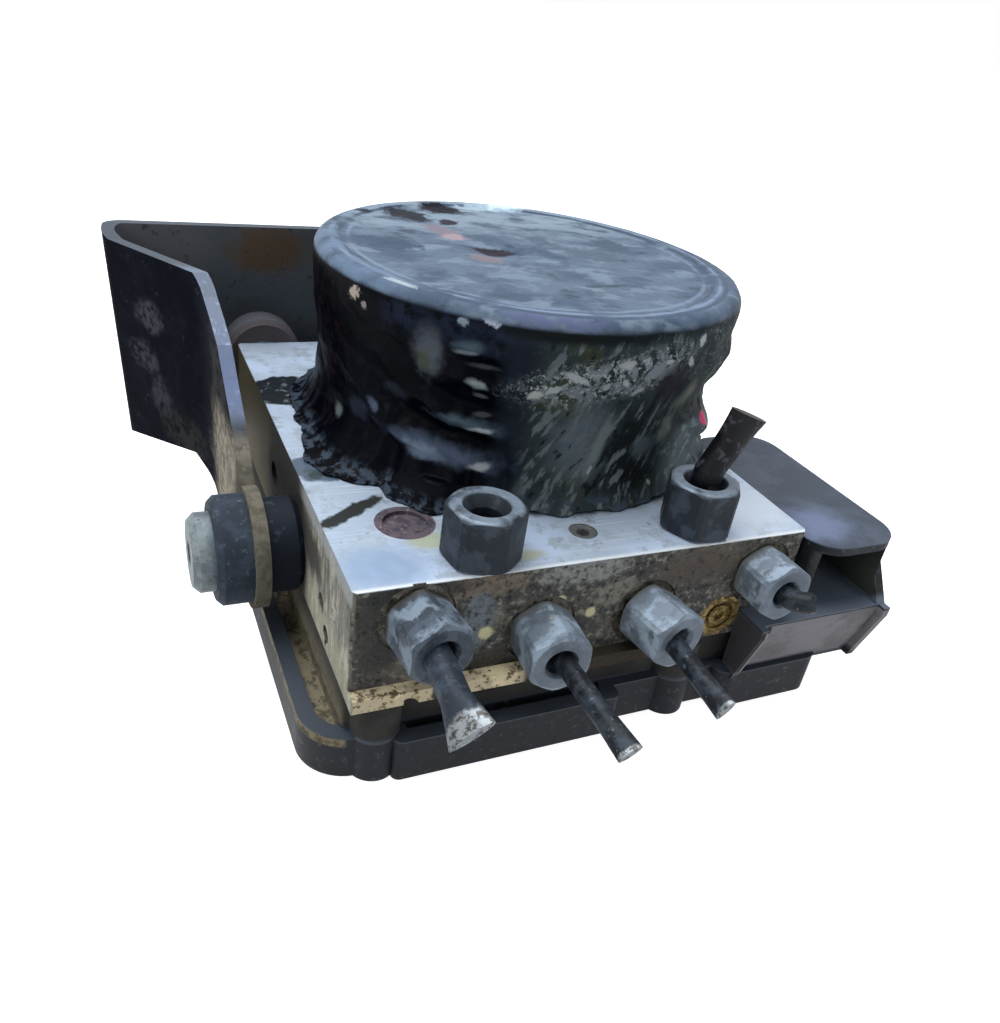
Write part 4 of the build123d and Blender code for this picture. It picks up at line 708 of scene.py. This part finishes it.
def wrap_rows(turn):
    """One section of the closed film, from the middle of the top out, down and back inside."""
    angle = math.radians(turn)
    along, across = math.cos(angle), math.sin(angle)
    rows = []
    brow = wrap_reach(turn, BROW)
    for step in range(1, 44):
        r = (brow - ROLL) * (step / 43) ** 0.8
        rows.append((r, top_height(r * along, r * across)))
    edge = rows[-1][1]
    for step in range(1, 9):
        bend = math.pi / 2 * step / 8
        r = brow - ROLL + ROLL * math.sin(bend)
        rows.append((r, edge - (edge - BROW) * (1 - math.cos(bend))))
    hem = hem_reach(turn)
    start = SKIRT_START + 0.62 * max(0.0, hem - 49.0)
    for step in range(1, 86):
        height = BROW + (start - BROW) * step / 85
        rows.append((wrap_reach(turn, height), height))
    foot = rows[-1][0]
    for step in range(1, 21):
        share = step / 20
        r = foot + (hem - foot) * share ** 1.25
        height = SKIRT_FOOT + 0.35 + (start - SKIRT_FOOT - 0.35) * (1 - share) ** 1.9
        loose = math.sin(math.pi * min(1, share * 1.1))
        height += 0.8 * loose * (creases(turn, 1.2 * r, 15, 11) - 0.45)
        height += 0.2 * loose * around(turn, 2.0 * r, 5, 13)
        height = max(height, SKIRT_FOOT + 0.3, SKIRT_FOOT + ear_cover(r * along, r * across))
        rows.append((r, height))
    inside = EAR_ROOM if abs((turn - EAR_TURNS[0] + 90) % 180 - 90) < 9 else LINING
    inside = min(inside, hem - 1.5)
    rows += [(hem - 0.1, SKIRT_FOOT - 0.1), (inside, SKIRT_FOOT - 0.1), (inside, 50.6),
             (LINING, 50.8), (LINING, 78.0), (CAN - 2.0, CAN_TOP)]
    return rows


def wrap_mesh():
    """The whole film as one closed shell, with a layout that runs round it and down it."""
    mesh = bmesh.new()
    sections, lengths = [], []
    for k in range(TURNS):
        turn = 360 * k / TURNS
        angle = math.radians(turn)
        rows = wrap_rows(turn)
        sections.append([
            mesh.verts.new((r * math.cos(angle), r * math.sin(angle), z)) for r, z in rows
        ])
        run, marks = 0.0, []
        for (r0, z0), (r1, z1) in zip([(0.0, rows[0][1])] + rows, rows):
            run += math.hypot(r1 - r0, z1 - z0)
            marks.append(run)
        lengths.append(marks)
    crown = mesh.verts.new((0, 0, top_height(0, 0)))
    ceiling = mesh.verts.new((0, 0, CAN_TOP))
    layout = mesh.loops.layers.uv.new("layout")
    for k in range(TURNS):
        one, two = sections[k], sections[(k + 1) % TURNS]
        u0, u1 = (CAN * math.radians(360 * n / TURNS) / 1000 for n in (k, k + 1))
        marks = lengths[k]
        panels = [((crown, one[0], two[0]), ((u0, 0.0), (u0, marks[0]), (u1, marks[0])))]
        for low, (near, far) in enumerate(zip(marks, marks[1:])):
            panels.append(((one[low], one[low + 1], two[low + 1], two[low]),
                           ((u0, near), (u0, far), (u1, far), (u1, near))))
        for corners, spots in panels:
            for loop, (along, down) in zip(mesh.faces.new(corners).loops, spots):
                loop[layout].uv = (along, -down / 1000)
        mesh.faces.new((one[-1], ceiling, two[-1]))
    return smooth_data(mesh, "motor_wrap")


wrap = placed("motor_wrap", wrap_mesh())
filmy = Finish("boot_film", (3, 4, 9), rough=0.34, gloss=0.1)
turned = filmy.add("SeparateXYZ", {"Vector": filmy.wrapped}).outputs["X"]
turned = filmy.sum("DIVIDE", turned, CAN * math.pi / 180)
wall = filmy.step(filmy.z, 84.4, 82.6)
lit = filmy.step(filmy.z, 83.6, 85.0)
wide = filmy.cloud(14, 4, 0.6)
small = filmy.cloud(2.4, 5, 0.65, shift=5)
sky_sheen = filmy.cloud(6, 4, 0.6, stretch=(1.6, 1, 1), turn=(0, 0, -12), shift=21)
tiny = filmy.cloud(0.9, 4, 0.7, shift=9)
lean = filmy.cloud(1.9, 4, 0.6, stretch=(3.2, 1, 1), turn=(0, 0, 66), shift=3, wrapped=True)


def between(start, full, still, end):
    """Mask of the wall from one turn to another, with soft ends."""
    return filmy.both(wall, filmy.band(turned, start, full, still, end))


def on_wall(turn, height, long, high, tilt=0.0, soft=1.1, ragged=0.7, edge=small):
    """Mask of a mark on the wall, tilted from level."""
    angle = math.radians(turn)
    centre = (48 * math.cos(angle), 48 * math.sin(angle), height)
    radii = (9, long, high)
    return filmy.patch(centre, radii, turn=turn, tilt=tilt, soft=soft, ragged=ragged, edge=edge)


filmy.fleck(wall, wide, 0.5, 0.64, (9, 11, 18), rough=0.4)
filmy.fleck(between(150, 160, 190, 199), small, 0.5, 0.62, (22, 14, 17))
high_front = filmy.both(between(207, 214, 248, 252), filmy.step(filmy.z, 76, 81))
filmy.fleck(high_front, small, 0.36, 0.56, (25, 32, 46))
filmy.paint(between(239, 244, 249, 254), (24, 29, 38), rough=0.45)

# The dusty flap, streaked where fingers drew it to the right
flap = between(246, 252, 288, 300)
filmy.paint(flap, (40, 48, 50), rough=0.65)
filmy.fleck(flap, wide, 0.52, 0.6, (50, 53, 44), rough=0.65)
filmy.paint((flap, on_wall(264, 61, 7, 8, ragged=0.3)), (76, 85, 90), rough=0.6)
filmy.paint((flap, on_wall(277, 58, 11, 7, tilt=-72)), (19, 23, 25), rough=0.5)
filmy.fleck(flap, lean, 0.54, 0.64, (84, 92, 93), rough=0.75)
filmy.fleck(flap, lean, 0.45, 0.36, (17, 20, 23), rough=0.45)
filmy.paint(on_wall(258, 83.4, 17, 1.7), (18, 22, 24))
scored = on_wall(268, 75.4, 20, 4.2, tilt=12, soft=0.9)
filmy.fleck(scored, small, 0.47, 0.55, (104, 112, 116), rough=0.8)
filmy.fleck(scored, tiny, 0.54, 0.6, (140, 146, 146), rough=0.8)

# The side behind the flap, rubbed grey
around_back = filmy.sum("MAXIMUM", filmy.step(turned, 286, 300), filmy.step(turned, 70, 30))
east = filmy.both(wall, around_back)
filmy.paint(east, (42, 48, 50), rough=0.6)
filmy.fleck(east, small, 0.5, 0.58, (70, 76, 78), rough=0.7)
filmy.paint((east, filmy.step(wide, 0.5, 0.6), filmy.step(small, 0.5, 0.4)), (62, 57, 64))
high_east = filmy.both(east, filmy.step(filmy.z, 68, 74))
filmy.fleck(high_east, tiny, 0.6, 0.66, (138, 144, 148), rough=0.8)
low_east = filmy.both(east, filmy.step(filmy.z, 62, 59))
filmy.paint(low_east, (88, 98, 99), rough=0.5)
filmy.fleck(low_east, small, 0.52, 0.6, (122, 132, 134), rough=0.5)

# Painted highlights where the folds and creases catch the light, some of them on the dusty flap:
# turn and height, half length, half width, tilt, colour
for turn, height, long, high, tilt, colour in (
    (223.2, 75.5, 4.6, 3.0, -87, (72, 77, 84)), (222.2, 73.4, 2.2, 1.4, -80, (66, 70, 62)),
    (232.9, 78.3, 2.8, 1.3, 7, (54, 66, 74)), (232.6, 77.4, 2.3, 0.5, 7, (104, 114, 118)),
    (237.0, 74.8, 2.8, 0.5, 2, (56, 60, 64)), (235.9, 71.4, 1.9, 0.8, -10, (114, 122, 122)),
    (237.0, 68.8, 1.3, 0.5, -5, (70, 74, 76)), (238.0, 64.7, 1.6, 0.4, 3, (60, 65, 69)),
    (233.7, 62.8, 6.2, 1.2, -2, (56, 68, 78)), (237.4, 62.1, 2.6, 0.5, 5, (132, 139, 142)),
    (227.9, 55.9, 11.8, 1.9, -4, (56, 65, 80)), (224.8, 55.4, 4.0, 1.2, -9, (86, 98, 114)),
    (239.0, 54.6, 2.1, 0.7, 8, (122, 126, 130)), (208.4, 60.5, 1.8, 1.0, -21, (68, 76, 92)),
    (202.6, 57.6, 3.4, 1.9, 0, (34, 40, 52)), (193.5, 54.1, 1.9, 1.2, -12, (80, 88, 88)),
    (214.7, 64.7, 2.7, 1.3, -13, (34, 39, 48)), (267.4, 60.3, 6.3, 1.1, 78, (90, 98, 98)),
    (286.1, 73.4, 4.0, 3.6, -9, (34, 32, 40)), (293.0, 68.9, 3.4, 2.2, 43, (90, 92, 84)),
    (288.8, 62.1, 3.0, 1.8, 66, (96, 102, 96)), (281.5, 58.9, 3.2, 2.2, 4, (62, 72, 76)),
):
    filmy.paint(on_wall(turn, height, long, high, tilt), colour, rough=0.5)
chips = (
    (200.3, 81.8, 1.9, 1.3, 29, (168, 158, 146)), (204.0, 80.2, 1.0, 0.8, -30, (130, 126, 124)),
    (231.0, 83.0, 1.0, 1.0, 0, (118, 130, 142)), (237.2, 84.4, 2.0, 1.2, -25, (150, 156, 172)),
    (249.4, 71.1, 1.7, 0.9, 26, (146, 150, 148)), (253.4, 72.6, 1.8, 0.7, 24, (140, 146, 146)),
    (257.8, 75.4, 2.9, 0.8, -19, (138, 144, 146)), (265.8, 73.6, 1.0, 0.9, 14, (134, 140, 142)),
    (269.8, 78.3, 1.8, 0.9, 6, (140, 144, 146)), (278.1, 76.7, 2.4, 1.9, 52, (118, 126, 130)),
    (270.4, 74.5, 1.0, 0.7, -49, (150, 154, 154)), (274.4, 72.4, 1.7, 0.6, 19, (134, 140, 142)),
    (281.3, 78.5, 1.2, 0.6, -2, (150, 154, 156)), (290.1, 77.3, 1.6, 0.8, -48, (164, 168, 166)),
    (292.8, 81.6, 1.5, 1.0, 40, (160, 164, 168)), (266.3, 55.0, 1.1, 0.5, 72, (124, 130, 130)),
    (286.6, 49.6, 1.2, 0.6, -35, (166, 168, 162)),
)
for turn, height, long, high, tilt, colour in chips:
    chip = on_wall(turn, height, 0.9 * long, 0.85 * high, tilt, soft=0.6, ragged=1.2, edge=tiny)
    filmy.paint(chip, colour, rough=0.75)
filmy.paint(on_wall(310, 59.8, 1.6, 1.5, soft=0.4, ragged=0.2), (226, 84, 124), rough=0.5)
skirt = filmy.step(filmy.z, 49.5, 47.2)
filmy.fleck(skirt, small, 0.46, 0.58, (52, 61, 72), rough=0.4)

# The top, painted blue-grey as a reflection of the sky, with painted highlight and shade rings
# along the rim
filmy.paint(lit, (70, 83, 100), rough=0.45)
filmy.fleck(lit, wide, 0.4, 0.6, (88, 101, 117), rough=0.5)
filmy.fleck(lit, sky_sheen, 0.5, 0.66, (106, 119, 133), rough=0.5)
filmy.fleck(lit, sky_sheen, 0.44, 0.3, (58, 68, 82), rough=0.4)
grainy = filmy.both(lit, filmy.step(tiny, 0.55, 0.75))
filmy.fleck(grainy, wide, 0.4, 0.6, (112, 124, 138))
# Painted highlight: the back of the top is lighter.
back_reflection = filmy.both(lit, filmy.step(filmy.y, 6, 30))
filmy.fleck(back_reflection, sky_sheen, 0.34, 0.56, (120, 134, 146), rough=0.5)
flat = filmy.add("VectorMath", {0: filmy.place, 1: (1, 1, 0)}, operation="MULTIPLY").outputs[0]
away = filmy.add("VectorMath", {0: flat}, operation="LENGTH").outputs["Value"]
# Painted highlight and shade: lighter and darker rings along the rim's ridges.
for ring, colour in (
    (40.8, (108, 122, 140)), (42.7, (64, 75, 90)), (44.4, (112, 127, 148)), (45.8, (70, 81, 97)),
):
    off = filmy.sum("ABSOLUTE", filmy.sum("SUBTRACT", away, ring), 0)
    filmy.fleck(filmy.both(lit, filmy.step(off, 0.7, 0.2)), wide, 0.35, 0.55, colour)
# Painted highlight on the rolled rim at the left.
roll_highlight = filmy.both(lit, filmy.band(turned, 158, 172, 205, 222), filmy.step(away, 42.4, 44.0))
filmy.fleck(roll_highlight, sky_sheen, 0.3, 0.62, (94, 111, 132), rough=0.4)
# Painted highlight: a lavender band along the brow at the front.
brow = filmy.both(lit, filmy.band(turned, 236, 244, 258, 268), filmy.step(away, 45.8, 46.6))
filmy.fleck(brow, small, 0.36, 0.56, (88, 96, 124), rough=0.4)

# Marks on the top, dark crumbs and lighter marks, with the two bright marks at the back a painted
# highlight: place, half length, half width, turn, colour
for x, y, long, high, turn, colour in (
    (-31.4, 5.3, 7, 5, -24, (62, 76, 92)), (-29.8, 32.0, 2.0, 1.4, 9, (48, 52, 62)),
    (-18.6, 32.3, 5.5, 5.0, -20, (34, 38, 46)), (-7.2, 39.0, 5.6, 4.4, -28, (24, 25, 33)),
    (-9.6, 26.6, 2.6, 2.2, 7, (46, 41, 52)), (-14.5, 17.0, 7.5, 3.2, -80, (112, 106, 118)),
    (-14.0, 11.7, 2.8, 2.6, 0, (140, 126, 132)), (-12.8, -6.0, 3.8, 3.0, -14, (114, 106, 112)),
    (-7.6, 1.6, 5.0, 2.0, -12, (46, 42, 50)), (10.6, 42.4, 11, 3.6, 4, (146, 162, 176)),
    (14.0, 42.8, 6.5, 2.0, 4, (186, 200, 212)), (27.2, 8.3, 3.4, 4.6, 10, (66, 79, 95)),
    (11.0, 30.9, 1.8, 1.6, 0, (74, 86, 100)), (7.1, -24.0, 5.0, 0.9, 2, (66, 78, 88)),
    (17.0, 0.0, 7.0, 5.0, -31, (78, 91, 106)),
):
    centre, radii = (x, y, RIM_TOP - 0.4), (long, high, ENDLESS)
    filmy.paint((lit, filmy.patch(centre, radii, turn, soft=0.5, ragged=1.0, edge=small)), colour)
glint = on_wall(212.6, 86.0, 4.0, 0.7, soft=0.6, edge=tiny)
filmy.paint((glint, filmy.band(away, 44.8, 45.3, 46.0, 46.4)), (150, 160, 168))
filmy.emboss(small, 0.14)
filmy.emboss(tiny, 0.05)
wrap.data.materials.append(filmy.finished())
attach(wrap, "module")
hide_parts("motor_boot")

# --------------------------------------------------------------------- bracket
# Bent from painted steel sheet, with a flared back corner. The paint is scraped bright along
# the upper edge, which also carries a painted bluish highlight, and dust lies on the arm by the
# mount.
paint = Finish("bracket_paint", (8, 10, 19), rough=0.6, gloss=0.05)
patchy = paint.cloud(12, 5, 0.6)
scrape = paint.cloud(2.6, 5, 0.7, shift=6)
paint.wash(patchy, 0.45, 0.62, (15, 18, 27), rough=0.6)
paint.wash(scrape, 0.62, 0.7, (46, 49, 54), rough=0.6)
inner = paint.both(paint.step(paint.facing("X"), -0.5, -0.2),
                   paint.step(paint.facing("Y"), 0.5, 0.2), paint.step(paint.y, 44, 54))
paint.paint(inner, (82, 88, 94), rough=0.75)
paint.fleck(inner, paint.x, -58, -70, (92, 92, 96), rough=0.75)
rusty = paint.patch((-48, 57, 69), (10, 30, 6), soft=1.0, ragged=0.8, size=6)
paint.paint((inner, rusty), (92, 78, 64), rough=0.75)
paint.fleck(inner, scrape, 0.58, 0.68, (66, 68, 70), rough=0.75)
for middle, radii, colour in (  # Rubbed places on the outside
    ((-84, 38, 58), (30, 5, 4), (62, 62, 70)), ((-83, 42, 46), (30, 5, 4), (58, 58, 66)),
    ((-83, 37, 37), (30, 4, 5), (54, 54, 62)), ((-80, 28, 30), (30, 9, 6), (44, 44, 44)),
    ((-76, 4, 58), (30, 7, 20), (48, 48, 50)), ((-70, 4, 34), (30, 12, 6), (88, 88, 86)),
):
    rub = paint.patch(middle, radii, soft=0.7, ragged=0.7, size=4, shift=middle[1])
    paint.paint((rub, paint.step(scrape, 0.36, 0.56)), colour, rough=0.65)
arm = paint.both(paint.step(paint.z, 52, 42), paint.step(paint.y, 16, 4))
paint.paint(arm, (120, 114, 102), rough=0.8)
paint.fleck(arm, scrape, 0.44, 0.58, (154, 146, 132), rough=0.85)
paint.fleck(arm, scrape, 0.42, 0.32, (92, 86, 72), rough=0.8)
paint.paint((arm, paint.step(paint.y, -9, -14), 0.7), (62, 60, 52))
# The upward-facing edges: painted lighter and bluish as a highlight, with flecks of scraped paint.
edge = paint.step(paint.facing("Z"), 0.35, 0.7)
paint.fleck(edge, paint.z, 46, 52, (82, 87, 94), rough=0.5)
scraped_and_lit_edge = paint.both(edge, paint.step(paint.y, 30, 20), paint.step(paint.z, 49, 55))
paint.paint(scraped_and_lit_edge, (112, 120, 134), rough=0.45)
paint.fleck(scraped_and_lit_edge, paint.z, 70, 58, (108, 120, 148), rough=0.45)
paint.fleck(scraped_and_lit_edge, scrape, 0.54, 0.66, (122, 132, 156), rough=0.4, metal=0.3)
paint.emboss(scrape, 0.15)
paint.emboss(paint.cloud(0.6, 3, 0.6, shift=4), 0.03)
dress(paint, "bracket")

# ---------------------------------------------------------------- rubber mounts
# Three flanged rubber bushings hold the block to the bracket; each has a steel sleeve through it
# and a bolt with a domed washer head.
rubber = Finish("mount_rubber", (42, 49, 58), rough=0.65, gloss=0.2)
rubber.wash(rubber.cloud(5, 5, 0.6), 0.42, 0.6, (54, 62, 73), rough=0.75)
rubber.wash(rubber.cloud(1.4, 4, 0.7, shift=3), 0.56, 0.68, (78, 85, 90), rough=0.8)
near_block = rubber.both(rubber.step(rubber.x, -66.5, -65), rubber.step(rubber.y, 40, 36))
bare = rubber.less(rubber.step(rubber.cloud(4, 4, shift=11), 0.58, 0.68))
rubber.paint((near_block, bare), (26, 31, 39), rough=0.6)
back_end = rubber.step(rubber.y, 48, 52)
rubber.paint(back_end, (88, 88, 94), rough=0.7)
hidden_end = rubber.both(rubber.step(rubber.y, 34, 38), rubber.less(back_end))
rubber.paint(hidden_end, (104, 92, 90), rough=0.75)
rubber.emboss(rubber.cloud(1.0, 4, 0.6, shift=8), 0.1)
dress(rubber, "rubber_mounts")
fixing = Finish("mount_steel", (92, 102, 108), rough=0.5, metal=0.3)
fixing.wash(fixing.cloud(4, 5, 0.6), 0.45, 0.6, (118, 127, 130), rough=0.6)
fixing.wash(fixing.cloud(1.3, 5, 0.7, shift=2), 0.56, 0.66, (92, 90, 78), rough=0.7)
fixing.emboss(fixing.cloud(1.0, 4, 0.6, shift=4), 0.08)
dress(fixing, "mount_sleeves", "mount_bolts")

# ------------------------------------------------------------------------ stage
# A pale floor under three soft lamps, which shows white behind the module, and a camera close to
# the front left corner, a little higher than the motor's top.
FLOOR_SIZE = 60.0
FLOOR_DROP = 0.0002


def linked(tree, node, *sources):
    """The first output of a node that takes the sources at its first sockets, in order."""
    for index, source in enumerate(sources):
        tree.links.new(source, node.inputs[index])
    return node.outputs[0]


def seen_rays(tree):
    """1 for the rays that show the backdrop: straight, mirrored or through glass."""
    path = tree.nodes.new("ShaderNodeLightPath")
    rays = path.outputs["Is Camera Ray"]
    for kind in ("Is Glossy Ray", "Is Transmission Ray"):
        either = tree.nodes.new("ShaderNodeMath")
        either.operation = "MAXIMUM"
        rays = linked(tree, either, rays, path.outputs[kind])
    return rays


def shown_as(tree, plain, shown, end):
    """Ends a tree in its plain shader, and in the shown one for the rays that show the backdrop."""
    choice = linked(tree, tree.nodes.new("ShaderNodeMixShader"), seen_rays(tree), plain, shown)
    tree.links.new(choice, tree.nodes[end].inputs["Surface"])


floor_mesh = bmesh.new()
bmesh.ops.create_grid(floor_mesh, x_segments=1, y_segments=1, size=FLOOR_SIZE)
bmesh.ops.translate(floor_mesh, vec=(0, 0, -FLOOR_DROP), verts=floor_mesh.verts)
floor_data = bpy.data.meshes.new("floor")
floor_mesh.to_mesh(floor_data)
floor_mesh.free()
floor = placed("floor", floor_data)
pale = bpy.data.materials.new("floor_pale")
pale.use_nodes = True
matt = pale.node_tree.nodes["Principled BSDF"]
matt.inputs["Base Color"].default_value = (0.5, 0.5, 0.5, 1)
matt.inputs["Roughness"].default_value = 0.9
shine = pale.node_tree.nodes.new("ShaderNodeEmission")
shine.inputs["Strength"].default_value = 0.9
lighter = linked(pale.node_tree, pale.node_tree.nodes.new("ShaderNodeAddShader"),
                 matt.outputs[0], shine.outputs[0])
shown_as(pale.node_tree, matt.outputs[0], lighter, "Material Output")
floor.data.materials.append(pale)

world = bpy.data.worlds.new("studio")
bpy.context.scene.world = world
world.use_nodes = True
sky_light = world.node_tree.nodes["Background"]
sky_light.inputs["Color"].default_value = (0.80, 0.88, 1.0, 1)
sky_light.inputs["Strength"].default_value = 0.36
backdrop = world.node_tree.nodes.new("ShaderNodeBackground")
backdrop.inputs["Color"].default_value = (1, 1, 1, 1)
backdrop.inputs["Strength"].default_value = 1.0
shown_as(world.node_tree, sky_light.outputs[0], backdrop.outputs[0], "World Output")

# Lamps: name, place and aim in metres, size, power and colour
for name, spot, aim, size, power, colour in (
    ("lamp_over", (-0.2, 0.2, 1.0), (0, 0, 0.04), 1.0, 16.2, (0.94, 0.97, 1.0)),
    ("lamp_left", (-0.95, -0.3, 0.5), (0, 0, 0.04), 0.5, 3.0, (1.0, 0.97, 0.92)),
    ("lamp_front", (0.35, -0.95, 0.4), (0, 0, 0.03), 0.6, 2.2, (1.0, 1.0, 1.0)),
):
    lamp = bpy.data.lights.new(name, "AREA")
    lamp.shape = "DISK"
    lamp.size = size
    lamp.energy = power
    lamp.color = colour
    held = placed(name, lamp)
    held.location = spot
    held.rotation_euler = (Vector(aim) - Vector(spot)).to_track_quat("-Z", "Y").to_euler()

lens = bpy.data.cameras.new("camera")
lens.lens = 31.0
lens.sensor_width = 36.0
lens.clip_start = 0.01
camera = placed("camera", lens)
camera.matrix_world = Matrix((  # Right, up, back and place, in columns
    (0.90908, 0.09745, -0.40505, -0.0936),
    (-0.39496, 0.51092, -0.76352, -0.1827),
    (0.13255, 0.85408, 0.50296, 0.1360),
    (0, 0, 0, 1),
))
bpy.context.scene.camera = camera
bpy.context.scene.view_settings.view_transform = "Standard"
